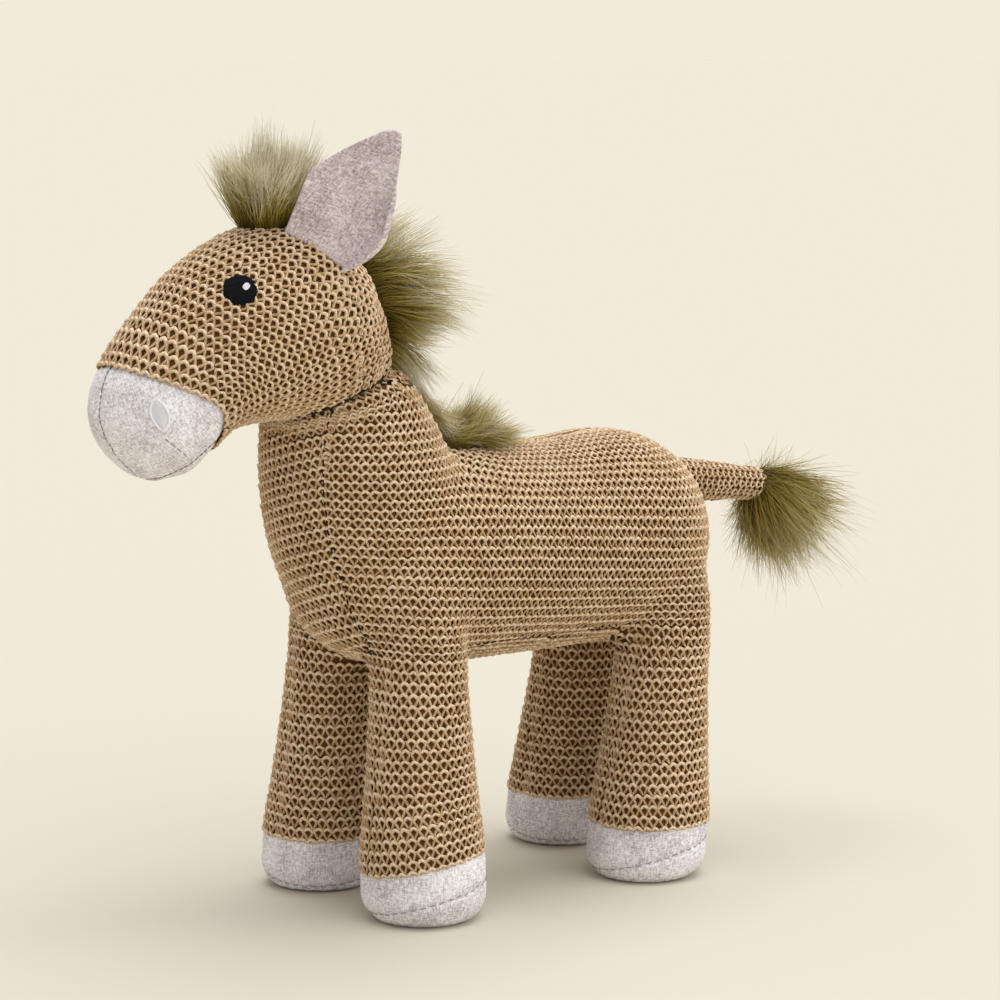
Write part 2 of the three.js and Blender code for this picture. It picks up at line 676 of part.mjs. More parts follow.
function earLayerSolid(spot, hand, front) {
  const root = new THREE.Vector3(-earRootBack, hand * earRootOut, -earRootOut).projectOnPlane(spot.normal);
  root.normalize();
  const leaning = new THREE.Vector3(-restingEarBack, -restingEarSpread, restingEarRise);
  const reach = hand > 0 ? new THREE.Vector3(-earBack, earSpread, earRise) : leaning;
  const length = reach.length();
  const up = reach.clone().normalize();
  const face = root.clone().cross(up).normalize().multiplyScalar(hand);
  const base = spot.point.clone().addScaledVector(spot.normal, earHinge + seamGap);
  const near = front ? seamGap / 2 : -seamGap / 2;
  const thick = front ? earLayer : -earLayer;
  const edges = smoothRows(earRows, earSteps + 1);
  const rows = edges.map((edge, i) => [(length * i) / earSteps, edge, 1]);
  rows.unshift([-earLayer * 0.8, edges[0], 0.55]);
  const points = [];
  for (const level of [0, 1]) {
    for (const [height, [ahead, behind], full] of rows) {
      const share = Math.max(height, 0) / length;
      const half = ((behind - ahead) / 2) * earWidth;
      const middle = ((behind + ahead) / 2) * earWidth;
      for (let j = 0; j <= earColumns; j++) {
        const sideways = (2 * j) / earColumns - 1;
        const curl = earCup * sideways * sideways * Math.min(1, share * 4) * (half / (earWidth / 2));
        const offset = near + thick * full * level + curl;
        const point = base.clone().addScaledVector(root, middle + sideways * half);
        points.push(point.addScaledVector(up, height).addScaledVector(face, offset));
      }
    }
  }
  const wide = earColumns + 1;
  const layerSize = wide * rows.length;
  const index = [];
  const quad = (a, b, c, d) => index.push(a, b, c, a, c, d);
  for (let i = 0; i < rows.length - 1; i++) {
    for (let j = 0; j < earColumns; j++) {
      const a = i * wide + j;
      quad(a, a + wide, a + wide + 1, a + 1);
      quad(layerSize + a, layerSize + a + 1, layerSize + a + wide + 1, layerSize + a + wide);
    }
    const [left, right] = [i * wide, i * wide + earColumns];
    quad(left, layerSize + left, layerSize + left + wide, left + wide);
    quad(right, right + wide, layerSize + right + wide, layerSize + right);
  }
  const top = wide * (rows.length - 1);
  for (let j = 0; j < earColumns; j++) {
    quad(j, j + 1, layerSize + j + 1, layerSize + j);
    quad(top + j, layerSize + top + j, layerSize + top + j + 1, top + j + 1);
  }
  const geometry = new THREE.BufferGeometry().setFromPoints(points);
  geometry.setIndex(index);
  return solid(geometry);
}

for (const [name, hand] of [["left", 1], ["right", -1]]) {
  const above = headMiddle.clone().add(new THREE.Vector3(earAhead, hand * earOut, 120));
  const spot = onHead(above, above.clone().setZ(0));
  add(`ear_${name}_front`, earLayerSolid(spot, hand, true), linen);
  add(`ear_${name}_back`, earLayerSolid(spot, hand, false), linen);
}

// Forelock: a tuft between the ears, wider above its root.
const aboveCrown = headMiddle.clone().add(new THREE.Vector3(forelockAhead, 0, 120));
const crown = onHead(aboveCrown, aboveCrown.clone().setZ(0));
const tuft = [
  [0, -6],
  [forelockRoot / 2, -6],
  [forelockRoot / 2, 2],
  [forelockWidth * 0.42, forelockHeight * 0.35],
  [forelockWidth * 0.5, forelockHeight * 0.65],
  [forelockWidth * 0.38, forelockHeight * 0.9],
  [0, forelockHeight],
].map(([r, z]) => new THREE.Vector2(r, z));
const forelockWay = new THREE.Vector3(0.06, 0, 1).normalize();
const forelock = along(new THREE.LatheGeometry(tuft, 14), crown.point, forelockWay);
add("forelock", forelock.subtract(headGrown), fur);

// Mane: a comb of fur down the middle of the head and neck, parted at the neck seam.
function comb(points) {
  const shape = new THREE.Shape(points.map(([x, z]) => new THREE.Vector2(x, z)));
  const bevel = maneThickness * 0.25;
  const geometry = new THREE.ExtrudeGeometry(shape, {
    depth: maneThickness - 2 * bevel,
    bevelThickness: bevel,
    bevelSize: bevel,
    bevelOffset: -bevel,
    bevelSegments: 1,
  });
  geometry.rotateX(Math.PI / 2);
  return solid(geometry.translate(0, maneThickness / 2 - bevel, 0));
}

const nape = headLine(0, 0).add(new THREE.Vector3(-maneLength * 0.18, 0, 0));
const maneUpper = comb([
  [nape.x + maneRoot, nape.z + maneHeight * 0.35],
  [nape.x + maneRoot * 0.6, nape.z + maneHeight * 0.7],
  [nape.x - maneLength * 0.6, nape.z + maneHeight * 0.55],
  [nape.x - maneLength, nape.z + maneHeight * 0.23],
  [nape.x - maneLength * 0.85, nape.z - maneHeight * 0.14],
  [nape.x + maneRoot * 0.08, nape.z - maneHeight * 0.3],
  [nape.x + maneRoot * 0.6, nape.z - maneHeight * 0.18],
]);
add("mane_upper", maneUpper.subtract(headGrown).subtract(ball(neckPivot, neckBallRadius + flexGap)), fur);

const withers = new THREE.Vector3(neckPivot.x - neckFootDiameter / 2 - withersBehind, 0, backHeight);
const maneLower = comb([
  [withers.x + maneRoot, withers.z + withersHeight * 0.7],
  [withers.x + maneRoot * 0.45, withers.z + withersHeight * 0.85],
  [withers.x - maneLength * 0.35, withers.z + withersHeight * 0.62],
  [withers.x - maneLength * 0.72, withers.z + withersHeight * 0.35],
  [withers.x - maneLength * 0.5, withers.z - withersHeight * 0.05],
  [withers.x + maneRoot, withers.z - withersHeight * 0.15],
]);
add("mane_lower", maneLower.subtract(joined(trunk(-seamGap), neck(-seamGap))), fur);

// Tail cover, open at its tip, its filling, and the tassel.
const tipBlock = beyond(tailTip.clone().addScaledVector(tailAxis, tailTipDiameter * 0.3), tailAxis);
add("tail_cover", tail(0).subtract(tail(coverThickness)).subtract(tipBlock), knit);
add("tail_filling", tail(coverThickness + seamGap).subtract(tipBlock), fibre);

const brush = [
  [0, tailTipDiameter * 0.3],
  [tailTipDiameter * 0.55, tailTipDiameter * 0.3],
  [tasselWidth * 0.27, tasselLength * 0.22],
  [tasselWidth * 0.44, tasselLength * 0.5],
  [tasselWidth * 0.5, tasselLength * 0.75],
  [tasselWidth * 0.38, tasselLength * 0.93],
  [0, tasselLength],
].map(([r, z]) => new THREE.Vector2(r, z));
const tassel = along(new THREE.LatheGeometry(brush, 14), tailTip, tailWay(tailDroop + tasselDroop));
add("tail_tassel", tassel.subtract(ball(tailTip, tailTipDiameter / 2 + flexGap, 20)), fur);

// The origin goes under the middle of the box.
const bounds = new THREE.Box3().setFromObject(toy);
toy.position.x = -(bounds.min.x + bounds.max.x) / 2;

export default part;
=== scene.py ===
import math

import bmesh
import bpy
import numpy as np
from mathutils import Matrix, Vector
from mathutils.bvhtree import BVHTree
from mathutils.kdtree import KDTree


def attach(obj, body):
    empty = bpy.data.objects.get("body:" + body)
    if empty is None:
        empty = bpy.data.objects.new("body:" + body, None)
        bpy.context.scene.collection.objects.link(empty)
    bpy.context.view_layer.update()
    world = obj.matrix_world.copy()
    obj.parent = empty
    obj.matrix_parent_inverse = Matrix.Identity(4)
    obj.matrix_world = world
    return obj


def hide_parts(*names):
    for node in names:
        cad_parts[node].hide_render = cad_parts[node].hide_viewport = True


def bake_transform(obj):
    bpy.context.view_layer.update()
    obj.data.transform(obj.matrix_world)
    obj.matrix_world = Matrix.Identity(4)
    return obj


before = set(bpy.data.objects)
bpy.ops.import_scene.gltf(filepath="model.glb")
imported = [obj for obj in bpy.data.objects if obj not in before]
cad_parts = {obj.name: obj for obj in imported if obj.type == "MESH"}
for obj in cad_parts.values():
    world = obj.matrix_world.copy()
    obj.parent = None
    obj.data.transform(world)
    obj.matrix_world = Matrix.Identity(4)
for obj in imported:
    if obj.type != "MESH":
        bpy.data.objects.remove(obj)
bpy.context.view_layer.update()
mm = 0.001
chance = np.random.default_rng(11)


# Colours are sRGB hex, turned to the linear values that shaders use
def linear(code):
    parts = [int(code[i:i + 2], 16) / 255 for i in (1, 3, 5)]
    return tuple(c / 12.92 if c <= 0.04045 else ((c + 0.055) / 1.055) ** 2.4 for c in parts) + (1,)


# One node with its settings, and its inputs either set or linked
def addNode(tree, kind, inputs=None, **settings):
    node = tree.nodes.new(kind)
    for name, value in settings.items():
        setattr(node, name, value)
    for key, value in (inputs or {}).items():
        if isinstance(value, bpy.types.NodeSocket):
            tree.links.new(value, node.inputs[key])
        else:
            node.inputs[key].default_value = value
    return node


# A material with its tree and shader; the finish is set on the shader's own sockets
def startMaterial(name, finish):
    material = bpy.data.materials.new(name)
    material.use_nodes = True
    shader = material.node_tree.nodes["Principled BSDF"]
    for socket, value in finish.items():
        shader.inputs[socket].default_value = value
    return material, material.node_tree, shader


def unit(rows):
    return rows / np.maximum(np.linalg.norm(rows, axis=-1, keepdims=True), 1e-9)


def smoothStep(low, high, value):
    t = np.clip((value - low) / (high - low), 0, 1)
    return t * t * (3 - 2 * t)


# A mesh object from points in millimetres
def meshObject(name, points, faces=(), edges=(), material=None, smooth=True):
    mesh = bpy.data.meshes.new(name)
    mesh.from_pydata((np.asarray(points) * mm).tolist(), [list(e) for e in edges], [list(f) for f in faces])
    if material:
        mesh.materials.append(material)
    if smooth:
        mesh.shade_smooth()
    obj = bpy.data.objects.new(name, mesh)
    bpy.context.scene.collection.objects.link(obj)
    return obj


# The object with its modifiers worked out and gone
def settle(obj):
    bpy.context.view_layer.update()
    deps = bpy.context.evaluated_depsgraph_get()
    mesh = bpy.data.meshes.new_from_object(obj.evaluated_get(deps))
    old = obj.data
    obj.modifiers.clear()
    obj.data = mesh
    mesh.name = obj.name
    bpy.data.meshes.remove(old)


# Points of a mesh in millimetres, and its triangles
def pointsAndTriangles(mesh):
    mesh.calc_loop_triangles()
    points = np.empty(len(mesh.vertices) * 3, np.float32)
    mesh.vertices.foreach_get("co", points)
    triangles = np.empty(len(mesh.loop_triangles) * 3, np.int32)
    mesh.loop_triangles.foreach_get("vertices", triangles)
    return points.reshape(-1, 3).astype(float) / mm, triangles.reshape(-1, 3)


def pointNormals(points, triangles):
    a, b, c = (points[triangles[:, i]] for i in range(3))
    facing = np.cross(b - a, c - a)
    total = np.zeros_like(points)
    for i in range(3):
        for k in range(3):
            total[:, k] += np.bincount(triangles[:, i], facing[:, k], len(points))
    return unit(total)


# Evens out a surface, each point towards its neighbours
def relax(points, triangles, rounds, strength=0.5):
    pairs = np.concatenate([triangles[:, [0, 1]], triangles[:, [1, 2]], triangles[:, [2, 0]]])
    pairs = np.unique(np.sort(pairs, axis=1), axis=0)
    count = np.bincount(pairs.ravel(), minlength=len(points))[:, None]
    for _ in range(rounds):
        total = np.stack([
            np.bincount(pairs[:, 0], points[pairs[:, 1], k], len(points))
            + np.bincount(pairs[:, 1], points[pairs[:, 0], k], len(points)) for k in range(3)], 1)
        points = points + strength * (total / np.maximum(count, 1) - points)
    return points


# Numbers in rows, read smoothly at more places along the table
def smoothRows(rows, count):
    rows = np.asarray(rows, float)
    last = len(rows) - 1
    at = np.linspace(0, last, count)
    k = np.minimum(at.astype(int), last - 1)
    t = (at - k)[:, None]
    before, here, there, after = (rows[np.clip(k + d, 0, last)] for d in (-1, 0, 1, 2))
    leave, arrive, rise = (there - before) / 2, (after - here) / 2, there - here
    return here + t * (leave + t * (3 * rise - 2 * leave - arrive + t * (leave + arrive - 2 * rise)))


# Oval rings, each from a centre and its reach across, up and down
def ovalRings(centres, across, up, down, sides):
    angle = np.arange(sides) * 2 * math.pi / sides
    wide, tall = np.cos(angle), np.sin(angle)
    return (centres[:, None] + across[:, None] * wide[None, :, None]
            + up[:, None] * np.maximum(tall, 0)[None, :, None] + down[:, None] * np.maximum(-tall, 0)[None, :, None])


# Four-sided faces between rings of points
def ringFaces(rings, sides):
    i, j = np.meshgrid(np.arange(rings - 1), np.arange(sides), indexing="ij")
    n = (j + 1) % sides
    faces = np.stack([i * sides + j, i * sides + n, (i + 1) * sides + n, (i + 1) * sides + j], -1)
    return faces.reshape(-1, 4)


# Rings of points closed by one point at each end
def closedLoft(rings, start, end):
    count, sides = rings.shape[:2]
    points = np.concatenate([rings.reshape(-1, 3), [start], [end]])
    faces = [tuple(f) for f in ringFaces(count, sides)]
    first, last = count * sides, count * sides + 1
    for j in range(sides):
        n = (j + 1) % sides
        faces.append((first, n, j))
        faces.append((last, (count - 1) * sides + j, (count - 1) * sides + n))
    return points, faces


print("stage: camera, floor and light")
view = {"target": (2.6, 0, 145.5), "back": (0.6097, 0.7803, 0.1392), "distance": 1300, "lens": 123.2,
        "sensor": 36, "farthest": 100}
scene = bpy.context.scene
scene.view_settings.view_transform = "Standard"
lens = bpy.data.cameras.new("camera")
lens.lens = view["lens"]
lens.sensor_width = view["sensor"]
lens.clip_end = view["farthest"]
camera = bpy.data.objects.new("camera", lens)
scene.collection.objects.link(camera)
camera.location = (Vector(view["target"]) + Vector(view["back"]) * view["distance"]) * mm
camera.rotation_euler = Vector(view["back"]).to_track_quat("Z", "Y").to_euler()
scene.camera = camera

# Each light has its energy, its width in degrees and the way it comes from
studio = {"backdrop": "#f2ebd9", "floor": "#d4cebe", "floorHalf": 20000, "dome": (0.5, 0.5, 0.51, 1),
          "horizon": (0.05, 0.2),
          "lights": {"softbox_above": (1.95, 50, (-0.14, -0.1, 0.98)), "softbox_front": (1.2, 90, (-0.25, 0.78, 0.58))}}
world = bpy.data.worlds.new("studio")
scene.world = world
world.use_nodes = True
air = world.node_tree
# The backdrop's colour stands around the horizon, with an even pale dome above it
direction = addNode(air, "ShaderNodeTexCoord")
height = addNode(air, "ShaderNodeSeparateXYZ", {0: direction.outputs["Generated"]})
aloft = addNode(air, "ShaderNodeMapRange", {"Value": height.outputs["Z"], "From Min": studio["horizon"][0],
                "From Max": studio["horizon"][1]})
glow = addNode(air, "ShaderNodeMix", {0: aloft.outputs[0]}, data_type="RGBA")
glow.inputs[6].default_value = linear(studio["backdrop"])
glow.inputs[7].default_value = studio["dome"]
air.links.new(glow.outputs[2], air.nodes["Background"].inputs["Color"])
air.nodes["Background"].inputs["Strength"].default_value = 1

for name, (energy, angle, came) in studio["lights"].items():
    sun = bpy.data.lights.new(name, "SUN")
    sun.energy = energy
    sun.angle = math.radians(angle)
    sunObject = bpy.data.objects.new(name, sun)
    scene.collection.objects.link(sunObject)
    sunObject.rotation_euler = Vector(came).to_track_quat("Z", "Y").to_euler()

# Studio paper: pale, warm and quite matt
paper = startMaterial("studio_paper", {"Base Color": linear(studio["floor"]), "Roughness": 1,
                                       "Specular IOR Level": 0})[0]
corners = [(x * studio["floorHalf"], y * studio["floorHalf"], 0) for x, y in ((-1, -1), (1, -1), (1, 1), (-1, 1))]
floor = meshObject("floor", corners, [(0, 1, 2, 3)], material=paper, smooth=False)


print("stage: materials")


# Cotton yarn of two plies, matt and a little hairy; its colour carries painted shade, darker low on each stitch and in
# the grooves of the twist, and a painted highlight, paler high on the ridges
def yarnMaterial(name, deep, middle, pale):
    material, tree, shader = startMaterial(name, {"Roughness": 0.9, "Specular IOR Level": 0.2, "Sheen Weight": 0.1,
                                                  "Sheen Roughness": 0.5})
    lift = addNode(tree, "ShaderNodeAttribute", attribute_name="lift")
    tone = addNode(tree, "ShaderNodeAttribute", attribute_name="tone")
    strand = addNode(tree, "ShaderNodeUVMap", uv_map="strand")
    place = addNode(tree, "ShaderNodeTexCoord")
    # The twist repeats every 1.7 mm along the yarn
    lay = addNode(tree, "ShaderNodeVectorMath", {0: strand.outputs["UV"], 1: (1 / 1.7, 2, 0)}, operation="DOT_PRODUCT")
    ply = addNode(tree, "ShaderNodeMath", {0: lay.outputs["Value"], 1: 6.283}, operation="MULTIPLY")
    twist = addNode(tree, "ShaderNodeMath", {0: ply.outputs[0]}, operation="SINE")
    # Fibres are drawn about 0.5 mm wide so that they show, and patches of uneven dye are about 17 mm
    fibre = addNode(tree, "ShaderNodeTexNoise", {"Vector": place.outputs["Object"], "Scale": 2200, "Detail": 2})
    patch = addNode(tree, "ShaderNodeTexNoise", {"Vector": place.outputs["Object"], "Scale": 60, "Detail": 3})
    # The level starts from the stitch's height: painted shade where it is low, painted highlight where it is high; the
    # twist adds painted shade in its grooves
    level = lift.outputs["Fac"]
    for source, share in ((tone.outputs["Fac"], 0.16), (patch.outputs["Fac"], 0.3), (fibre.outputs["Fac"], 0.4),
                          (twist.outputs[0], 0.07)):
        level = addNode(tree, "ShaderNodeMath", {0: source, 1: share, 2: level}, operation="MULTIPLY_ADD").outputs[0]
    scaled = addNode(tree, "ShaderNodeMapRange", {"Value": level, "From Min": 0.35, "From Max": 1.35})
    ramp = addNode(tree, "ShaderNodeValToRGB", {"Fac": scaled.outputs[0]})
    stops = ramp.color_ramp.elements
    stops[0].position, stops[1].position = 0, 1
    stops[0].color, stops[1].color = linear(deep), linear(pale)
    stops.new(0.55).color = linear(middle)
    height = addNode(tree, "ShaderNodeMath", {0: fibre.outputs["Fac"], 1: 1.2, 2: twist.outputs[0]},
                     operation="MULTIPLY_ADD")
    bump = addNode(tree, "ShaderNodeBump", {"Height": height.outputs[0], "Strength": 0.8, "Distance": 0.00014})
    tree.links.new(ramp.outputs["Color"], shader.inputs["Base Color"])
    tree.links.new(bump.outputs["Normal"], shader.inputs["Normal"])
    return material


# Woven linen: uneven slubs both ways, a fine crinkle and soft clouds of shade, all matt.
# The weave is read from the cloth's own coordinates in millimetres.
def linenMaterial(name, deep, pale):
    material, tree, shader = startMaterial(name, {"Roughness": 0.92, "Specular IOR Level": 0.2, "Sheen Weight": 0.1})
    cloth = addNode(tree, "ShaderNodeUVMap", uv_map="cloth")
    place = addNode(tree, "ShaderNodeTexCoord")
    # Threads are about 0.6 mm apart, and slubs run along them for about 3 mm
    slubs = []
    for scale in ((0.35, 1.7, 1), (1.7, 0.35, 1)):
        laid = addNode(tree, "ShaderNodeMapping", {"Vector": cloth.outputs["UV"], "Scale": scale})
        slubs.append(addNode(tree, "ShaderNodeTexNoise", {"Vector": laid.outputs[0], "Scale": 1, "Detail": 3,
                             "Roughness": 0.6}))
    # Crinkles are about 1 mm and clouds about 14 mm
    crinkle = addNode(tree, "ShaderNodeTexNoise", {"Vector": place.outputs["Object"], "Scale": 1000, "Detail": 4,
                      "Roughness": 0.7})
    cloud = addNode(tree, "ShaderNodeTexNoise", {"Vector": place.outputs["Object"], "Scale": 70, "Detail": 3})
    weave = addNode(tree, "ShaderNodeMath", {0: slubs[0].outputs["Fac"], 1: slubs[1].outputs["Fac"]}, operation="ADD")
    mottled = addNode(tree, "ShaderNodeMath", {0: crinkle.outputs["Fac"], 1: 1.1, 2: weave.outputs[0]},
                      operation="MULTIPLY_ADD")
    shade = addNode(tree, "ShaderNodeMath", {0: cloud.outputs["Fac"], 1: 0.7, 2: mottled.outputs[0]},
                    operation="MULTIPLY_ADD")
    level = addNode(tree, "ShaderNodeMapRange", {"Value": shade.outputs[0], "From Min": 1.55, "From Max": 2.15})
    colour = addNode(tree, "ShaderNodeMix", {0: level.outputs[0]}, data_type="RGBA")
    colour.inputs[6].default_value = linear(deep)
    colour.inputs[7].default_value = linear(pale)
    bump = addNode(tree, "ShaderNodeBump", {"Height": mottled.outputs[0], "Strength": 0.7, "Distance": 0.0003})
    tree.links.new(colour.outputs[2], shader.inputs["Base Color"])
    tree.links.new(bump.outputs["Normal"], shader.inputs["Normal"])
    return material


# Long-pile fur: dark at the root as painted shade deep in the tuft, golden in the middle and pale at the tip, with each
# hair a little its own
def furMaterial(name, codes):
    material, tree, shader = startMaterial(name, {"Roughness": 0.6, "Specular IOR Level": 0.25})
    along = addNode(tree, "ShaderNodeAttribute", attribute_name="along")
    tone = addNode(tree, "ShaderNodeAttribute", attribute_name="tone")
    part = addNode(tree, "ShaderNodeMath", {0: along.outputs["Fac"], 1: 0.66}, operation="MULTIPLY")
    where = addNode(tree, "ShaderNodeMath", {0: tone.outputs["Fac"], 1: 0.38, 2: part.outputs[0]},
                    operation="MULTIPLY_ADD")
    ramp = addNode(tree, "ShaderNodeValToRGB", {"Fac": where.outputs[0]})
    stops = ramp.color_ramp.elements
    stops[0].position, stops[1].position = 0.1, 0.93
    stops[0].color, stops[1].color = linear(codes[0]), linear(codes[3])
    for position, code in ((0.34, codes[1]), (0.6, codes[2])):
        stops.new(position).color = linear(code)
    tree.links.new(ramp.outputs["Color"], shader.inputs["Base Color"])
    return material


# Sewing and embroidery thread: one colour with a faint sheen, broken by fibres of about 0.6 mm
def threadMaterial(name, code, roughness, change=0.15):
    material, tree, shader = startMaterial(name, {"Roughness": roughness, "Specular IOR Level": 0.25})
    place = addNode(tree, "ShaderNodeTexCoord")
    strand = addNode(tree, "ShaderNodeTexNoise", {"Vector": place.outputs["Object"], "Scale": 1800, "Detail": 1})
    scale = addNode(tree, "ShaderNodeMapRange", {"Value": strand.outputs["Fac"], "To Min": 1 - change,
                    "To Max": 1 + change})
    colour = addNode(tree, "ShaderNodeVectorMath", {0: linear(code)[:3], "Scale": scale.outputs[0]}, operation="SCALE")
    tree.links.new(colour.outputs[0], shader.inputs["Base Color"])
    return material


# Painted shade: a dull, dark sheet under the knit, so that the gaps between stitches look deep; mottled at about 2 mm
def shadeSheetMaterial(name, deep, pale):
    material, tree, shader = startMaterial(name, {"Roughness": 1, "Specular IOR Level": 0})
    place = addNode(tree, "ShaderNodeTexCoord")
    mottle = addNode(tree, "ShaderNodeTexNoise", {"Vector": place.outputs["Object"], "Scale": 500, "Detail": 3})
    colour = addNode(tree, "ShaderNodeMix", {0: mottle.outputs["Fac"]}, data_type="RGBA")
    colour.inputs[6].default_value = linear(deep)
    colour.inputs[7].default_value = linear(pale)
    tree.links.new(colour.outputs[2], shader.inputs["Base Color"])
    return material


# The deep colour is painted shade low on the stitches and the pale one a painted highlight on the ridges
yarn = yarnMaterial("cotton_yarn", "#785430", "#ba9468", "#ead2b2")
# A dark sheet under the knit, painted shade seen through the gaps between stitches
shadeSheet = shadeSheetMaterial("knit_backing", "#5c3d20", "#735233")
linen = linenMaterial("pale_linen", "#ada0a6", "#fefcff")
# The ears are the muzzle's linen; this darker copy paints shade onto them
earShadedLinen = linenMaterial("ear_linen", "#9c898d", "#eee3e6")
# The darkest colour, at the roots, is painted shade deep in the tuft
furLook = furMaterial("long_pile_fur", ("#1c1605", "#79651b", "#b3a052", "#f4eeda"))
guardLook = furMaterial("guard_hair", ("#1f1a12", "#332b1d", "#473d2b", "#5d5440"))
blackThread = threadMaterial("black_thread", "#020207", 0.9)
whiteThread = threadMaterial("white_thread", "#eceaee", 0.6, 0.08)
greyThread = threadMaterial("satin_grey_thread", "#e0dee5", 0.6, 0.12)
# Dark brown seam thread: real stitches, dyed dark as painted shadow in the seams' grooves
seamShadowThread = threadMaterial("seam_thread", "#2c1d10", 0.9)
linenThread = threadMaterial("linen_thread", "#6f5f5f", 0.9)
soleThread = threadMaterial("sole_thread", "#a4969a", 0.9)


print("stage: stitch and strand tools")


# Tube through points, for one small strand
def strandTube(points, radius, sides):
    points = np.asarray(points, float)
    heading = unit(np.gradient(points, axis=0))
    side = unit(np.cross(heading, np.array([0.0, 0.0, 1.0]) + 1e-3))
    other = np.cross(heading, side)
    angle = np.arange(sides) * 2 * math.pi / sides
    around = side[:, None] * np.cos(angle)[None, :, None] + other[:, None] * np.sin(angle)[None, :, None]
    rings = points[:, None] + radius * around
    return rings.reshape(-1, 3), ringFaces(len(points), sides)


# One value a point, for a material or for geometry nodes
def writeAttribute(mesh, name, kind, values):
    attribute = mesh.attributes.new(name, kind, "POINT")
    kinds = {"FLOAT_VECTOR": ("vector", np.float32), "FLOAT": ("value", np.float32), "INT": ("value", np.int32)}
    attribute.data.foreach_set(kinds[kind][0], np.asarray(values, kinds[kind][1]).ravel())


# Garter knit in millimetres: the yarn's pitches, radii and heights off the dark sheet of painted shade beneath.
# The last line is how far a stitch strays from even knitting: its turn, size, place and height.
garter = {"stitchPitch": 3.4, "rowPitch": 3.8, "ridgeRadius": 0.66, "legRadius": 0.58, "wave": 0.27,
          "ridgeHeight": 0.86, "ridgeSwing": 0.2, "legHeights": (0.62, 0.52),
          "longRow": 20, "endGap": 0.35, "riseLimits": (0.7, 1.5),
          "turn": 0.07, "change": 0.06, "shift": 0.13, "bob": 0.06}


# One stitch: the wavy ridge, and the two legs of the loop that close to a V on the row below
def garterStitch(name, whole):
    pitch, row = garter["stitchPitch"], garter["rowPitch"]
    u = np.linspace(-0.56, 0.56, 7)  # a little over one pitch, so that neighbours join
    swing = np.cos(2 * math.pi * u)
    ridge = np.stack([u * pitch, -garter["wave"] / 2 * row * (1 - swing),
                      garter["ridgeHeight"] + garter["ridgeSwing"] * swing], 1)
    strands = [(ridge, garter["ridgeRadius"], 5)]
    if whole:
        for hand, height in zip((-1, 1), garter["legHeights"]):
            leg = np.array([(0.52, -0.2, 0.76), (0.39, -0.5, height), (0.2, -0.8, height - 0.1),
                            (0.05, -1.06, height - 0.06)]) * (hand * pitch, row, 1)
            strands.append((leg, garter["legRadius"], 4))
    points, faces, pairs, start = [], [], [], 0
    for line, radius, sides in strands:
        tube, quads = strandTube(line, radius, sides)
        points.append(tube)
        faces += (quads + start).tolist()
        length = np.concatenate([[0], np.cumsum(np.linalg.norm(np.diff(line, axis=0), axis=1))])
        for i in range(len(line) - 1):
            for j in range(sides):
                pairs += [(length[i], j / sides), (length[i], (j + 1) / sides),
                          (length[i + 1], (j + 1) / sides), (length[i + 1], j / sides)]
        start += len(tube)
    points = np.concatenate(points)
    obj = meshObject(name, points, faces)
    # lift is the height of each point on the stitch, which the yarn turns into painted shade low down and a painted
    # highlight on the ridge
    writeAttribute(obj.data, "lift", "FLOAT", np.clip((points[:, 2] + 0.1) / 1.8, 0, 1))
    obj.data.uv_layers.new(name="strand").data.foreach_set("uv", np.array(pairs, np.float32).ravel())
    return obj


# Geometry nodes: one stitch on every point, turned to the cloth
def stitchNodes():
    tree = bpy.data.node_groups.new("lay_stitches", "GeometryNodeTree")
    sockets = {}
    for name, kind in (("Points", "NodeSocketGeometry"), ("Stitch", "NodeSocketObject"),
                       ("Edge Stitch", "NodeSocketObject"), ("Seed", "NodeSocketInt"), ("Yarn", "NodeSocketMaterial")):
        sockets[name] = tree.interface.new_socket(name, in_out="INPUT", socket_type=kind).identifier
    tree.interface.new_socket("Cloth", in_out="OUTPUT", socket_type="NodeSocketGeometry")
    given = addNode(tree, "NodeGroupInput")
    stitch = addNode(tree, "GeometryNodeObjectInfo", {"Object": given.outputs["Stitch"], "As Instance": True})
    edge = addNode(tree, "GeometryNodeObjectInfo", {"Object": given.outputs["Edge Stitch"], "As Instance": True})
    kinds = addNode(tree, "GeometryNodeJoinGeometry")
    for model in (edge, stitch):
        tree.links.new(model.outputs["Geometry"], kinds.inputs[0])
    choice = addNode(tree, "GeometryNodeInputNamedAttribute", {"Name": "kind"}, data_type="INT")
    outward = addNode(tree, "GeometryNodeInputNamedAttribute", {"Name": "outward"}, data_type="FLOAT_VECTOR")
    alongRow = addNode(tree, "GeometryNodeInputNamedAttribute", {"Name": "along_row"}, data_type="FLOAT_VECTOR")
    stretch = addNode(tree, "GeometryNodeInputNamedAttribute", {"Name": "stretch"}, data_type="FLOAT_VECTOR")
    turn = addNode(tree, "FunctionNodeAxesToRotation", {"Primary Axis": outward.outputs["Attribute"],
                   "Secondary Axis": alongRow.outputs["Attribute"]}, primary_axis="Z", secondary_axis="X")
    laid = addNode(tree, "GeometryNodeInstanceOnPoints", {"Points": given.outputs["Points"],
                   "Instance": kinds.outputs[0], "Pick Instance": True, "Instance Index": choice.outputs["Attribute"],
                   "Rotation": turn.outputs[0], "Scale": stretch.outputs["Attribute"]})
    dice = addNode(tree, "FunctionNodeRandomValue", {"Seed": given.outputs["Seed"]}, data_type="FLOAT")
    toned = addNode(tree, "GeometryNodeStoreNamedAttribute", {"Geometry": laid.outputs[0], "Name": "tone",
                    "Value": dice.outputs[1]}, data_type="FLOAT", domain="INSTANCE")
    real = addNode(tree, "GeometryNodeRealizeInstances", {"Geometry": toned.outputs[0]})
    shaded = addNode(tree, "GeometryNodeSetShadeSmooth", {"Geometry": real.outputs[0]})
    dyed = addNode(tree, "GeometryNodeSetMaterial", {"Geometry": shaded.outputs[0], "Material": given.outputs["Yarn"]})
    addNode(tree, "NodeGroupOutput", {0: dyed.outputs[0]})
    return tree, sockets


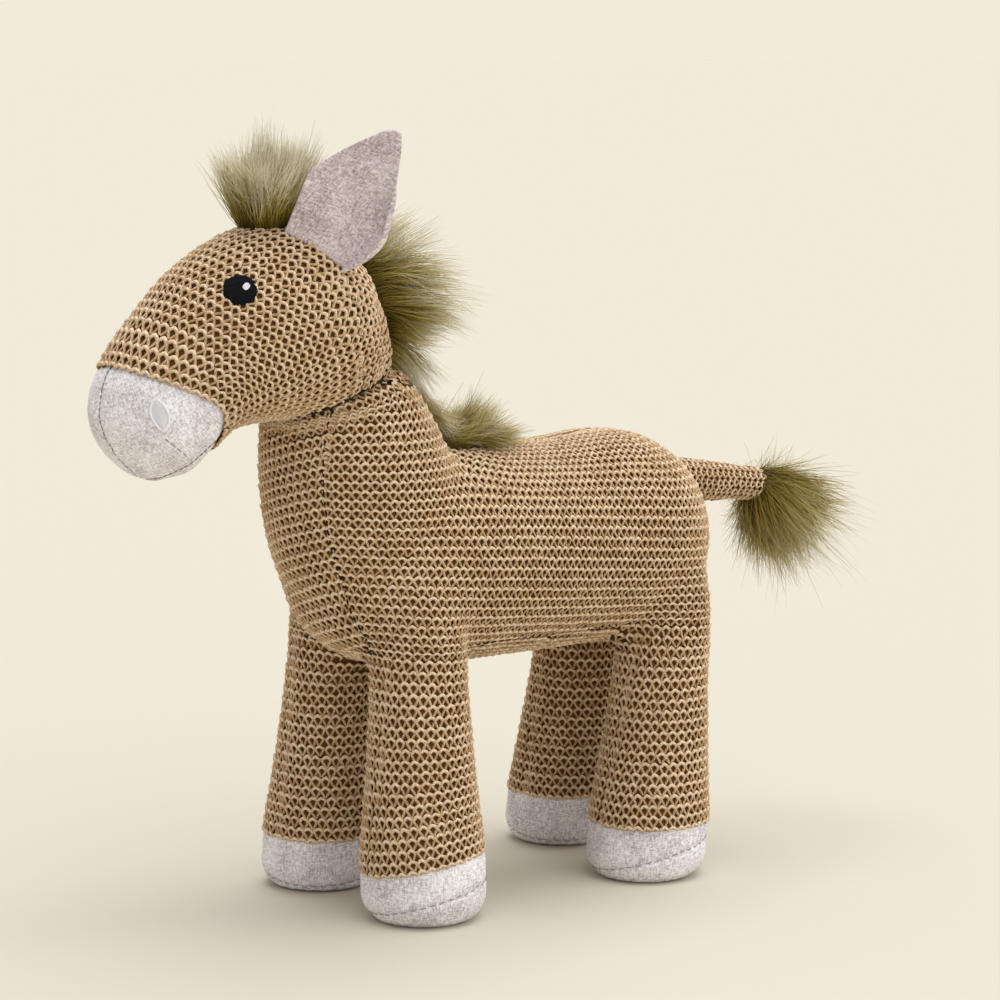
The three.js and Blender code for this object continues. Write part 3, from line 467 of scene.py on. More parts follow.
# Geometry nodes: drawn lines become round strands, as thick as each point says
def strandNodes():
    tree = bpy.data.node_groups.new("spin_strands", "GeometryNodeTree")
    sockets = {}
    for name, kind in (("Lines", "NodeSocketGeometry"), ("Sides", "NodeSocketInt"), ("Dye", "NodeSocketMaterial")):
        sockets[name] = tree.interface.new_socket(name, in_out="INPUT", socket_type=kind).identifier
    tree.interface.new_socket("Strands", in_out="OUTPUT", socket_type="NodeSocketGeometry")
    given = addNode(tree, "NodeGroupInput")
    curve = addNode(tree, "GeometryNodeMeshToCurve", {"Mesh": given.outputs["Lines"]})
    profile = addNode(tree, "GeometryNodeCurvePrimitiveCircle", {"Resolution": given.outputs["Sides"], "Radius": 1})
    thick = addNode(tree, "GeometryNodeInputNamedAttribute", {"Name": "thick"}, data_type="FLOAT")
    swept = addNode(tree, "GeometryNodeCurveToMesh", {"Curve": curve.outputs[0], "Profile Curve": profile.outputs[0],
                    "Scale": thick.outputs["Attribute"]})
    real = addNode(tree, "GeometryNodeRealizeInstances", {"Geometry": swept.outputs[0]})
    shaded = addNode(tree, "GeometryNodeSetShadeSmooth", {"Geometry": real.outputs[0]})
    dyed = addNode(tree, "GeometryNodeSetMaterial", {"Geometry": shaded.outputs[0], "Material": given.outputs["Dye"]})
    addNode(tree, "NodeGroupOutput", {0: dyed.outputs[0]})
    return tree, sockets


stitchTree, stitchSockets = stitchNodes()
strandTree, strandSockets = strandNodes()
stitchModel = garterStitch("garter_stitch", True)
edgeModel = garterStitch("edge_stitch", False)


# A knitted piece from the places of its stitches, each a little turned, moved and stretched by hand
def knitPiece(name, places, seed):
    spots, alongRow, outward, stretch, kind = places
    dice = np.random.default_rng(seed)

    def stray(size, columns):
        return np.clip(dice.normal(0, 1, (len(spots), columns)), -2, 2) * size

    across = np.cross(outward, alongRow)
    spots = (spots + alongRow * stray(garter["shift"], 1) + across * stray(garter["shift"] / 2, 1)
             + outward * stray(garter["bob"], 1))
    alongRow = unit(alongRow + across * stray(garter["turn"], 1))
    stretch = stretch * (1 + stray(garter["change"], 3))
    obj = meshObject(name, spots, smooth=False)
    writeAttribute(obj.data, "kind", "INT", kind)
    writeAttribute(obj.data, "along_row", "FLOAT_VECTOR", alongRow)
    writeAttribute(obj.data, "outward", "FLOAT_VECTOR", outward)
    writeAttribute(obj.data, "stretch", "FLOAT_VECTOR", stretch)
    layer = obj.modifiers.new("stitches", "NODES")
    layer.node_group = stitchTree
    layer[stitchSockets["Stitch"]] = stitchModel
    layer[stitchSockets["Edge Stitch"]] = edgeModel
    layer[stitchSockets["Seed"]] = seed
    layer[stitchSockets["Yarn"]] = yarn
    settle(obj)
    for spare in ("along_row", "outward", "stretch", "kind"):
        if spare in obj.data.attributes:
            obj.data.attributes.remove(obj.data.attributes[spare])
    return obj


# Strands from lines of points; thick, along and tone are one number a point
def strandPiece(name, lines, thick, material, sides=3, tone=None, along=None):
    count, steps = lines.shape[:2]
    i, j = np.meshgrid(np.arange(count), np.arange(steps - 1), indexing="ij")
    edges = np.stack([i * steps + j, i * steps + j + 1], -1).reshape(-1, 2)
    obj = meshObject(name, lines.reshape(-1, 3), edges=edges.tolist(), smooth=False)
    writeAttribute(obj.data, "thick", "FLOAT", np.broadcast_to(thick, (count, steps)) * mm)
    if along is not None:
        writeAttribute(obj.data, "along", "FLOAT", np.broadcast_to(along, (count, steps)))
        writeAttribute(obj.data, "tone", "FLOAT", np.broadcast_to(tone, (count, steps)))
    layer = obj.modifiers.new("strands", "NODES")
    layer.node_group = strandTree
    layer[strandSockets["Sides"]] = sides
    layer[strandSockets["Dye"]] = material
    settle(obj)
    if "thick" in obj.data.attributes:
        obj.data.attributes.remove(obj.data.attributes["thick"])
    return obj


# Running stitches along a line on a surface, sunk a little into the cloth
def dashes(name, line, outward, material, dash, gap, radius, lift=0.1):
    length = np.concatenate([[0], np.cumsum(np.linalg.norm(np.diff(line, axis=0), axis=1))])
    starts = np.arange(gap / 2, length[-1] - dash, dash + gap)
    share = np.linspace(0, 1, 5)
    at = starts[:, None] + dash * share
    arch = lift + radius * (4 * share * (1 - share) - 0.4)
    spots = np.stack([np.interp(at, length, line[:, k]) for k in range(3)], -1)
    normals = np.stack([np.interp(at, length, outward[:, k]) for k in range(3)], -1)
    return strandPiece(name, spots + unit(normals) * arch[None, :, None], radius, material, sides=5)


# Places for stitches along one line of a row, counted both ways from the anchor
def stitchesOnLine(line, outward, uphill, anchor, closed=False, pitch=None, crowding=None):
    pitch = pitch or garter["stitchPitch"]
    tight = crowding((line[1:] + line[:-1]) / 2) if crowding else np.ones(len(line) - 1)
    length = np.concatenate([[0], np.cumsum(np.linalg.norm(np.diff(line, axis=0), axis=1) * tight)])
    margin = 0.1 * pitch
    if closed:
        pitch = length[-1] / max(3, round(length[-1] / pitch))
        margin = 0.01
    first = math.ceil((margin - length[anchor]) / pitch)
    last = math.floor((length[-1] - margin - length[anchor]) / pitch)
    if last < first:
        return None
    at = np.arange(first, last + 1) * pitch
    if not closed and length[-1] > garter["longRow"]:
        # A long row is eased so that it ends in the same part of a stitch on both sides
        before, after = length[anchor], length[-1] - length[anchor]
        spare = garter["endGap"]
        fullBefore, fullAfter = (max(1, round(d / pitch - spare)) + spare for d in (before, after))
        steps = np.arange(-int(fullBefore), int(fullAfter) + 1)
        at = np.where(steps < 0, steps * before / fullBefore, steps * after / fullAfter)
    at = length[anchor] + at

    def read(values, where):
        return np.stack([np.interp(where, length, values[:, k]) for k in range(3)], 1)

    heading = unit(read(line, at + 1.5) - read(line, at - 1.5))
    normal = unit(read(outward, at))
    climb = read(uphill, at)
    up = np.cross(normal, heading)
    up *= np.where((up * climb).sum(1) < 0, -1, 1)[:, None]
    rise = np.clip(1 / np.maximum(np.linalg.norm(climb, axis=1), 1e-6), *garter["riseLimits"])
    wide = pitch / garter["stitchPitch"] / np.interp(at, (length[1:] + length[:-1]) / 2, tight)
    stretch = np.stack([wide, rise, np.ones(len(at))], 1)
    return read(line, at), unit(np.cross(up, normal)), normal, stretch


# Many rows of stitches as one
def gather(rows):
    return [np.concatenate(column) for column in zip(*rows)]


# Pairs of numbers that share an end are strung into lines; a closed line repeats its first number
def chains(pairs, count):
    links = [[] for _ in range(count)]
    for p, q in pairs.tolist():
        links[p].append(q)
        links[q].append(p)
    ends = [i for i, others in enumerate(links) if len(others) == 1]
    seen = [False] * count
    lines = []
    for start in ends + [i for i, others in enumerate(links) if others]:
        if seen[start]:
            continue
        line, here = [], start
        while here is not None:
            seen[here] = True
            line.append(here)
            here = next((n for n in links[here] if not seen[n]), None)
        if len(line) > 3:
            if line[0] in links[line[-1]]:
                line.append(line[0])
            lines.append(np.array(line))
    return lines


# Lines of equal height in a field on a surface
def levelLines(triangles, field, level):
    above = field[triangles] > level
    mixed = triangles[above.any(1) & ~above.all(1)]
    if not len(mixed):
        return []
    a, b = mixed, np.roll(mixed, -1, axis=1)
    crossing = (field[a] > level) != (field[b] > level)
    keys = np.minimum(a, b).astype(np.int64) * len(field) + np.maximum(a, b)
    pairs = keys[crossing].reshape(-1, 2)
    ids, where = np.unique(pairs, return_inverse=True)
    first, second = ids // len(field), ids % len(field)
    share = (level - field[first]) / (field[second] - field[first])
    return [(first[line], second[line], share[line][:, None]) for line in chains(where.reshape(-1, 2), len(ids))]


# Slope of a field at each point of a surface
def fieldSlope(points, triangles, field):
    p, q, r = (points[triangles[:, i]] for i in range(3))
    f = field[triangles]
    facing = np.cross(q - p, r - p)
    size = np.maximum(np.linalg.norm(facing, axis=1, keepdims=True), 1e-9)
    facing = facing / size
    slope = ((f[:, 1] - f[:, 0])[:, None] * np.cross(facing, p - r)
             + (f[:, 2] - f[:, 0])[:, None] * np.cross(facing, q - p)) / size
    total, weight = np.zeros_like(points), np.zeros(len(points))
    for i in range(3):
        weight += np.bincount(triangles[:, i], size[:, 0], len(points))
        for k in range(3):
            total[:, k] += np.bincount(triangles[:, i], slope[:, k] * size[:, 0], len(points))
    return total / np.maximum(weight, 1e-9)[:, None]


# Stitches on every row of a panel; row 0 is where the field is 0
def panelStitches(points, normals, triangles, field, findAnchor, pitch=None, crowding=None):
    slope = fieldSlope(points, triangles, field)
    row = garter["rowPitch"]
    low, high = field[triangles].min(), field[triangles].max()
    rows = []
    for k in range(math.ceil(low / row), math.floor(high / row) + 1):
        for first, second, share in levelLines(triangles, field, k * row + 0.001):
            closed = first[0] == first[-1] and second[0] == second[-1]
            if closed:
                start = int(np.argmin((points[first] * (1 - share) + points[second] * share)[:-1, 2]))
                turn = (np.arange(len(first)) + start) % (len(first) - 1)
                first, second, share = first[turn], second[turn], share[turn]
            line, outward, uphill = (a[first] * (1 - share) + a[second] * share for a in (points, normals, slope))
            places = stitchesOnLine(line, outward, uphill, findAnchor(line), closed, pitch, crowding)
            if places is not None:
                rows.append((*places, np.zeros(len(places[0]), int)))
    return gather(rows)


print("stage: body, neck and legs")
neckPivot = np.array([70.3, 0, 160])
neckAxis = np.array([math.sin(math.radians(16)), 0, math.cos(math.radians(16))])
# Hip and hoof of each leg, seen from above
legs = {"front_left": ((60.8, 26), (63.8, 33)), "front_right": ((60.8, -26), (63.8, -33)),
        "hind_left": ((-59.2, 24.5), (-42.2, 33)), "hind_right": ((-59.2, -24.5), (-54.2, -33))}
legNames = list(legs)
stance = {"hipHeight": 96, "thighRise": 32, "topRadius": 17.75, "hoofRadius": 23.5, "hoofHeight": 21.5,
          "hoofRounding": 10, "soleRadius": 15, "flare": 1.6, "soleHeight": 8, "soleTilt": 15, "cuffTilt": 8,
          "cuffLap": 0.6, "cuffRow": 3.4, "frontSeam": 29.5, "hindSeam": 28.75}
neck = {"footRadius": 36.5, "topRadius": 28, "depth": 50, "rise": 31.3, "dome": [(23.5, 34.2), (17, 37.8), (8, 40.4)],
        "crown": 41, "knitTop": 44}
roughForm = {"trunkRows": 60, "neckRows": 48, "sides": 72, "legSides": 56, "legFrom": 14, "shankRows": 40,
             "thighRows": 12}
bodyCover = {"voxel": 1.7, "rounds": 24, "inset": 1.3, "regain": 0.55, "rump": -87.2, "chest": 94.8, "middle": 128.25,
             "halfDepth": 40.75, "halfWidth": 43.5, "round": 41.5, "gussetTop": 98, "chestGusset": 20, "chestFrom": 64,
             "seamDepth": 0.8, "seamWidth": 1.2, "backSeamHalf": 1.3}
# Trunk from rump to chest: share of the length, then of the half depth up and down and of the half width
trunkRows = [(0.012, 0.34, 0.34, 0.3), (0.035, 0.58, 0.58, 0.54), (0.08, 0.79, 0.79, 0.77), (0.14, 0.94, 0.92, 0.92),
             (0.235, 1.01, 0.99, 1), (0.38, 0.96, 1, 0.99), (0.54, 0.97, 1, 0.97), (0.7, 1.01, 0.99, 0.95),
             (0.83, 0.97, 0.93, 0.89), (0.925, 0.76, 0.74, 0.71), (0.975, 0.48, 0.48, 0.45)]


# Radius of a leg by height: rounded hoof, flaring shank, thigh that runs into the body
def legRadius(height):
    s = stance
    height = np.asarray(height, float)
    low = 1 - np.clip(height / s["hoofRounding"], 0, 1)
    hoof = s["soleRadius"] + (s["hoofRadius"] - s["soleRadius"]) * np.sqrt(1 - low ** 2)
    share = np.clip((height - s["hoofHeight"]) / (s["hipHeight"] - s["hoofHeight"]), 0, 1)
    shank = s["topRadius"] + (s["hoofRadius"] - s["topRadius"]) * (1 - share) ** s["flare"]
    thigh = s["topRadius"] * (1 - 0.3 * (np.maximum(height - s["hipHeight"], 0) / s["thighRise"]) ** 2)
    return np.where(height < s["hoofRounding"], hoof, np.where(share < 1, shank, thigh))


# Middle of a leg by height
def legLine(name, height):
    hip, hoof = np.array(legs[name][0]), np.array(legs[name][1])
    height = np.asarray(height, float)
    share = np.minimum(1, height / stance["hipHeight"])[..., None]
    return np.concatenate([hoof + (hip - hoof) * share, height[..., None]], -1)


# The upper seam leans on the near front hoof only
def cuffRise(name):
    return math.tan(math.radians(stance["cuffTilt"])) if name == "front_left" else 0


# Height of the hoof's upper seam and of its sole seam at points of a leg
def cuffHeight(name, points):
    hoof = np.array(legs[name][1])
    return stance["hoofHeight"] + cuffRise(name) * (hoof[0] - points[..., 0] + points[..., 1] - hoof[1])


def soleSeam(name, points):
    rise = math.tan(math.radians(stance["soleTilt"])) * math.sqrt(0.5)
    hoof = np.array(legs[name][1])
    hand = np.sign(hoof[1])
    return stance["soleHeight"] + rise * (hoof[0] - points[..., 0] + hand * (points[..., 1] - hoof[1]))


# Trunk, neck and legs fused to one smooth surface, just under the stitches
def bodySurface():
    b = bodyCover
    pieces = []
    rows = smoothRows(trunkRows, roughForm["trunkRows"])
    length = b["chest"] - b["rump"]
    zero = np.zeros(len(rows))
    centres = np.stack([b["rump"] + rows[:, 0] * length, zero, zero + b["middle"]], 1)
    wide = np.stack([zero, rows[:, 3] * b["halfWidth"] - b["inset"], zero], 1)
    up = np.stack([zero, zero, rows[:, 1] * b["halfDepth"] - b["inset"]], 1)
    down = np.stack([zero, zero, b["inset"] - rows[:, 2] * b["halfDepth"]], 1)
    rings = ovalRings(centres, wide, up, down, roughForm["sides"])
    ends = ((b["rump"] + b["inset"], 0, b["middle"]), (b["chest"] - b["inset"], 0, b["middle"]))
    pieces.append(closedLoft(rings, *ends))
    foot, top, depth = (neck[size] - b["inset"] for size in ("footRadius", "topRadius", "depth"))
    rise = neck["rise"]
    profile = smoothRows([(foot * 0.2, -depth * 0.99), (foot * 0.55, -depth * 0.94), (foot * 0.88, -depth * 0.76),
                          (foot, -depth * 0.46), (foot * 0.95 + top * 0.05, -depth * 0.1),
                          (foot * 0.62 + top * 0.38, rise * 0.4), (foot * 0.25 + top * 0.75, rise * 0.75),
                          (top, rise), *neck["dome"]], roughForm["neckRows"])
    centres = neckPivot + profile[:, 1:] * neckAxis
    side = np.array([0, 1, 0])
    front = np.cross(side, neckAxis)
    reach = profile[:, :1]
    rings = ovalRings(centres, reach * side, reach * front, -reach * front, roughForm["sides"])
    pieces.append(closedLoft(rings, centres[0], neckPivot + neckAxis * neck["crown"]))
    for name in legNames:
        hip = stance["hipHeight"]
        heights = np.concatenate([np.linspace(roughForm["legFrom"], hip, roughForm["shankRows"]),
                                  np.linspace(hip + 2, hip + stance["thighRise"], roughForm["thighRows"])])
        centres = legLine(name, heights)
        radius = (legRadius(heights) - b["inset"])[:, None]
        rings = ovalRings(centres, radius * (1, 0, 0), radius * (0, 1, 0), radius * (0, -1, 0), roughForm["legSides"])
        pieces.append(closedLoft(rings, centres[0], centres[-1]))
    points, faces, start = [], [], 0
    for p, f in pieces:
        points.append(p)
        faces += [[i + start for i in q] for q in f]
        start += len(p)
    obj = meshObject("body_surface", np.concatenate(points), faces)
    fuse = obj.modifiers.new("fuse", "REMESH")
    fuse.mode = "VOXEL"
    fuse.voxel_size = b["voxel"] * mm
    settle(obj)
    points, triangles = pointsAndTriangles(obj.data)
    points = relax(points, triangles, b["rounds"])
    points += pointNormals(points, triangles) * b["regain"]
    bpy.data.objects.remove(obj)
    return points, triangles


# Which leg a point belongs to, or -1
def legOf(points):
    found = np.full(len(points), -1)
    for i, name in enumerate(legNames):
        middle = legLine(name, np.clip(points[:, 2], 0, 200))
        reach = np.linalg.norm(points[:, :2] - middle[:, :2], axis=1)
        found[(points[:, 2] < bodyCover["gussetTop"]) & (reach < legRadius(points[:, 2]) + 3)] = i
    return found


# How far aside the seams between outer and inner leg run
legSeams = np.array([stance["frontSeam"]] * 2 + [stance["hindSeam"]] * 2)


# Cloth panel of each point: 0 left side, 1 right side, 2 chest, 3 underside with the inner legs
def panelOf(points):
    x, y, z = points.T
    panel = np.where(y > 0, 0, 1)
    panel[(z > bodyCover["gussetTop"]) & (np.abs(y) < bodyCover["chestGusset"]) & (x > bodyCover["chestFrom"])] = 2
    leg = legOf(points)
    outer = (leg >= 0) & (np.abs(y) > legSeams[np.maximum(leg, 0)])
    panel[(z < bodyCover["gussetTop"]) & ~outer] = 3
    return panel


# Rows of the knit: they circle the trunk between front and rear, slope down to the front and lie level at the hips
rowShape = {"front": 60, "rear": -45, "neck": (12, 46), "hips": (60, -58), "level": (70, 104), "slope": 0.1,
            "straighten": (115, 205), "lowest": -0.73, "legEdge": -0.729, "legReach": (2, 9), "cuff": (22, 75),
            "hem": 0.5, "domeRow": 64, "domeRadius": 42, "domeEdge": 0.73, "domeFrom": (29, 32), "domeFront": (20, 40)}


# How far up the knit's rows each point lies, in millimetres
def rowField(points):
    b, r = bodyCover, rowShape
    x, y, z = points.T
    rise = z - b["middle"]
    ahead, behind = np.maximum(0, x - r["front"]), np.maximum(0, r["rear"] - x)
    level = np.sqrt(y ** 2 + ahead ** 2 + behind ** 2)
    upper = b["round"] * np.arctan2(np.maximum(rise, 0), np.maximum(level, 0.01))
    neckPart = smoothStep(*r["neck"], x)
    upper = upper * (1 - neckPart) + np.maximum(rise, 0) * neckPart
    lower = b["round"] * np.arcsin(np.clip(np.minimum(rise, 0) / b["round"], r["lowest"], 0))
    bellyDrop = b["round"] * np.arctan2(np.minimum(rise, 0), np.abs(y) + 0.01)
    below = z < b["gussetTop"]
    field = np.where(rise > 0, upper, np.where(below, bellyDrop, lower))
    hipX = np.where(x > 0, *r["hips"])
    level = hipX + (x - hipX) * smoothStep(*r["level"], z)
    field = field - r["slope"] * level * (1 - smoothStep(*r["straighten"], z) * neckPart)
    edge = b["round"] * math.asin(r["legEdge"])
    row = garter["rowPitch"]
    for name in legNames:
        # Whole rows from the gusset's edge down to the hem above the hoof
        hip = r["hips"][0 if legs[name][0][0] > 0 else 1]
        middle = legLine(name, np.clip(z, 0, 200))
        reach = np.linalg.norm(points[:, :2] - middle[:, :2], axis=1)
        onLeg = np.where(below, 1 - smoothStep(*r["legReach"], reach - legRadius(z)), 0)
        top = edge - r["slope"] * hip
        hem = stance["hoofHeight"] + r["hem"]
        last = row * round((top + hem - b["gussetTop"]) / row)
        cuff = cuffHeight(name, points) - stance["hoofHeight"]
        height = z - cuff * (1 - smoothStep(*r["cuff"], z))
        tilted = r["slope"] * (x - hip) * smoothStep(*r["level"], z)
        shank = top - tilted + (height - b["gussetTop"]) * (last - top) / (hem - b["gussetTop"])
        field = field * (1 - onLeg) + shank * onLeg
    fromPivot = points - neckPivot
    height = fromPivot @ neckAxis
    aside = np.linalg.norm(fromPivot - height[:, None] * neckAxis, axis=1)
    polar = np.arctan2(aside, np.maximum(height, 1))
    dome = r["domeRow"] + r["domeRadius"] * (r["domeEdge"] - polar)
    onDome = smoothStep(*r["domeFrom"], height) * smoothStep(*r["domeFront"], x)
    return field * (1 - onDome) + dome * onDome


# Cuts a mesh along a plane, only in the faces whose middles are chosen
def cutAlong(mesh, point, normal, keep):
    faces = [f for f in mesh.faces if keep(f.calc_center_median() / mm)]
    geometry = set(faces)
    for f in faces:
        geometry.update(f.edges)
        geometry.update(f.verts)
    bmesh.ops.bisect_plane(mesh, geom=list(geometry), plane_co=Vector(point) * mm, plane_no=normal, dist=1e-6)


# Each seam is cut only near its place: over or under the gusset's edge, on the chest, on one leg
cutArea = {"margin": 4, "chestFrom": 50, "legTop": 40, "legReach": 32}


# The body's surface with an edge along every seam, and open below the cuffs
def panelledBody():
    points, triangles = bodySurface()
    obj = meshObject("body_cut", points, triangles.tolist())
    mesh = bmesh.new()
    mesh.from_mesh(obj.data)
    top, half, area = bodyCover["gussetTop"], bodyCover["chestGusset"], cutArea
    over, under = top - area["margin"], top + area["margin"]
    cutAlong(mesh, (0, 0, top), (0, 0, 1), lambda c: True)
    cutAlong(mesh, (0, 0, 0), (0, 1, 0), lambda c: c.z > over)
    for hand in (1, -1):
        cutAlong(mesh, (0, hand * half, 0), (0, 1, 0), lambda c: c.z > over and c.x > area["chestFrom"])
        cutAlong(mesh, (0, hand * stance["frontSeam"], 0), (0, 1, 0), lambda c: c.z < under and c.x > 0)
        cutAlong(mesh, (0, hand * stance["hindSeam"], 0), (0, 1, 0), lambda c: c.z < under and c.x < 0)
    for name in legNames:
        hoof = legs[name][1]
        rise = cuffRise(name)
        seam = (hoof[0], hoof[1], stance["hoofHeight"] - stance["cuffLap"])
        cutAlong(mesh, seam, Vector((rise, -rise, 1)).normalized(),
                 lambda c: c.z < area["legTop"] and abs(c.x - hoof[0]) < area["legReach"] and c.y * hoof[1] > 0)
    low = []
    for face in mesh.faces:
        middle = np.array(face.calc_center_median()) / mm
        if middle[2] < area["legTop"]:
            near = min(legNames, key=lambda n: abs(middle[0] - legs[n][1][0]) + abs(middle[1] - legs[n][1][1]))
            if middle[2] < cuffHeight(near, middle) - stance["cuffLap"]:
                low.append(face)
    bmesh.ops.delete(mesh, geom=low, context="FACES")
    bmesh.ops.triangulate(mesh, faces=mesh.faces[:])
    mesh.to_mesh(obj.data)
    mesh.free()
    points, triangles = pointsAndTriangles(obj.data)
    bpy.data.objects.remove(obj)
    return points, triangles


bodyPoints, bodyTriangles = panelledBody()
bodyPanel = panelOf(bodyPoints[bodyTriangles].mean(1))


# Points where two panels are sewn together
def seamPoints(triangles, panel, count):
    low = np.full(count, 99)
    high = np.full(count, -1)
    for i in range(3):
        np.minimum.at(low, triangles[:, i], panel)
        np.maximum.at(high, triangles[:, i], panel)
    return np.flatnonzero(low != high)


# Distance of each point from the nearest target
def distanceTo(points, targets):
    tree = KDTree(len(targets))
    for i, p in enumerate(targets):
        tree.insert(p, i)
    tree.balance()
    return np.array([tree.find(p)[2] for p in points])


bodySeam = seamPoints(bodyTriangles, bodyPanel, len(bodyPoints))
seamReach = distanceTo(bodyPoints, bodyPoints[bodySeam])
bodyPoints -= (pointNormals(bodyPoints, bodyTriangles)
               * (bodyCover["seamDepth"] * np.exp(-(seamReach / bodyCover["seamWidth"]) ** 2))[:, None])
bodyNormals = pointNormals(bodyPoints, bodyTriangles)
bodyNormals = unit(relax(bodyNormals, bodyTriangles, 4))
bodyRows = rowField(bodyPoints)


# Piece of the toy that a point moves with
def pieceOf(points):
    leg = legOf(points)
    names = np.array(["leg_" + n for n in legNames] + ["none"], dtype=object)
    panel = panelOf(points)
    piece = np.array(["side_left", "side_right", "chest", "belly"], dtype=object)[panel]
    height = (points - neckPivot) @ neckAxis
    onNeck = (height > 0) & (points[:, 0] > 25) & (panel < 2)
    piece[onNeck] = np.array(["neck_left", "neck_right"], dtype=object)[panel[onNeck]]
    piece[leg >= 0] = names[leg[leg >= 0]]
    return piece


# Flank: the place where the stitches of a row are counted from, and where they crowd
flank = {"anchor": 20, "crowd": 0.2, "middle": -2, "reach": 36, "above": (96, 110)}


# The stitches of a leg's row are counted from its outside
def bodyAnchor(line):
    if line[:, 2].mean() < bodyCover["gussetTop"]:
        return int(np.argmax(np.abs(line[:, 1])))
    return int(np.argmin(np.abs(line[:, 0] - flank["anchor"])))


# Stitches sit closer together along the middle of the back and flank
def flankCrowding(points):
    near = np.exp(-((points[:, 0] - flank["middle"]) / flank["reach"]) ** 2)
    return 1 + flank["crowd"] * near * smoothStep(*flank["above"], points[:, 2])


# Rows of each panel; those of the chest slant across it
panelRows = {0: bodyRows, 1: bodyRows, 2: 0.9 * bodyRows - 0.3 * bodyPoints[:, 1], 3: bodyRows}
bodyStitches = gather([panelStitches(bodyPoints, bodyNormals, bodyTriangles[bodyPanel == panel], rows, bodyAnchor,
                                     crowding=flankCrowding) for panel, rows in panelRows.items()])
# Two rows of edge stitches beside the seam of the back, where the rows of the sides run out
edges = np.sort(np.concatenate([bodyTriangles[:, [0, 1]], bodyTriangles[:, [1, 2]], bodyTriangles[:, [2, 0]]]), axis=1)
owner = np.tile(bodyPanel, 3)
order = np.lexsort((edges[:, 1], edges[:, 0]))
edges, owner = edges[order], owner[order]
meets = (edges[1:] == edges[:-1]).all(1) & (owner[1:] != owner[:-1])
edges, higher = edges[:-1][meets], np.maximum(owner[1:], owner[:-1])[meets]
alongBack = edges[(higher == 1) & (bodyNormals[edges].min(1)[:, 2] > 0.2)]
for line in chains(alongBack, len(bodyPoints)):
    aside = np.tile((0.0, 1.0, 0.0), (len(line), 1))
    for shift in (-bodyCover["backSeamHalf"], bodyCover["backSeamHalf"]):
        seamRow = stitchesOnLine(bodyPoints[line] + (0, shift, 0), bodyNormals[line], aside, len(line) // 2)
        if seamRow is not None:
            seamRow = (*seamRow, np.ones(len(seamRow[0]), int))
            bodyStitches = gather([bodyStitches, seamRow])
keep = (bodyStitches[0] - neckPivot) @ neckAxis < neck["knitTop"]
bodyStitches = [s[keep] for s in bodyStitches]
whichLeg = legOf(bodyStitches[0])
for i, name in enumerate(legNames):
    lastRow = bodyStitches[0][:, 2] < cuffHeight(name, bodyStitches[0]) + stance["cuffRow"]
    bodyStitches[4][(whichLeg == i) & lastRow] = 1
stitchPiece = pieceOf(bodyStitches[0])
trianglePiece = pieceOf(bodyPoints[bodyTriangles].mean(1))


# Attaches a soft piece to the body; pieces of the legs, neck and chest keep their place, with their transform baked in
def follow(obj, piece):
    if piece.startswith("leg_"):
        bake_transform(obj)
    elif piece in ("neck_left", "neck_right", "chest"):
        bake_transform(obj)
    else:
        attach(obj, "body")


bodyNodes = {"side_left": ["body_side_left", "body_filling"], "side_right": ["body_side_right"],
             "chest": ["chest_gusset"], "belly": ["belly_gusset"], "neck_left": [], "neck_right": []}
for name in legNames:
    bodyNodes["leg_" + name] = [f"leg_{name}_outer", f"leg_{name}_inner", f"leg_{name}_filling"]
for number, (piece, nodes) in enumerate(bodyNodes.items()):
    faces = bodyTriangles[trianglePiece == piece]
    used, faces = np.unique(faces, return_inverse=True)
    # Under each piece's stitches lies a dark sheet, painted shade seen through the gaps
    cloth = meshObject(piece + "_backing", bodyPoints[used], faces.reshape(-1, 3).tolist(), material=shadeSheet)
    chosen = stitchPiece == piece
    knit = knitPiece(piece + "_knit", [s[chosen] for s in bodyStitches], 20 + number)
    for obj in (cloth, knit):
        follow(obj, piece)
    if nodes:
        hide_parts(*nodes)
    print(piece, int(chosen.sum()), "stitches", len(knit.data.polygons) * 2, "triangles")


print("stage: head")
headMiddle = np.array([87.39, 0, 219.6])
headShape = {"length": 108, "behind": 26, "drop": 48.5, "height": 76, "width": 72, "inset": 1.3, "rings": 260,
             "sides": 120, "stitchPitch": 3.65, "knitFrom": 43, "shadeSheetFrom": 41}
# Changes at the back of the head: size, height and reach
headBack = {"fuller": (3.6, 202, 10), "slimmer": (2.6, 225, 9)}
cheek = {"depth": 0.6, "width": 1.1, "lap": 0.4, "clear": 0.1, "threadFrom": 42.5}
# Head from back to nose: share of the length and drop, then of the half height up and down and of the half width
headRows = [(0.0004, 0, 0.04, 0.04, 0.04), (0.003, 0, 0.09, 0.13, 0.12), (0.01, 0, 0.16, 0.25, 0.22),
            (0.03, 0, 0.26, 0.42, 0.36), (0.1, 0, 0.5, 0.74, 0.62), (0.2, 0.01, 0.78, 0.9, 0.82),
            (0.32, 0.05, 1.02, 0.92, 0.96), (0.447, 0.127, 1.06, 0.83, 1), (0.603, 0.275, 1, 0.66, 0.95),
            (0.74, 0.451, 0.88, 0.5, 0.84), (0.84, 0.627, 0.8, 0.51, 0.75), (0.922, 0.804, 0.66, 0.5, 0.66),
            (0.975, 0.94, 0.4, 0.34, 0.43), (0.993, 0.983, 0.2, 0.17, 0.215)]
# The muzzle seam turns at the cheek: it leans one way over the nose and the other way under the jaw
muzzleCorner = np.array([147.52, 0, 195.37])
muzzleSeam = {"rounding": 1.5, "jawBack": 1.5, "lap": 0.2, "edgeRow": 3, "shadeSheetEnd": 0.6}
noseWay, jawWay = (np.array([math.cos(math.radians(a)), 0, -math.sin(math.radians(a))]) for a in (65.3, 17.3))
muzzleWay = np.array([0.78454, 0, -0.62008])  # along the muzzle
cheekSeam = headMiddle + (3, 0, 0)
backWay = np.array([-math.cos(math.radians(10)), 0, math.sin(math.radians(10))])
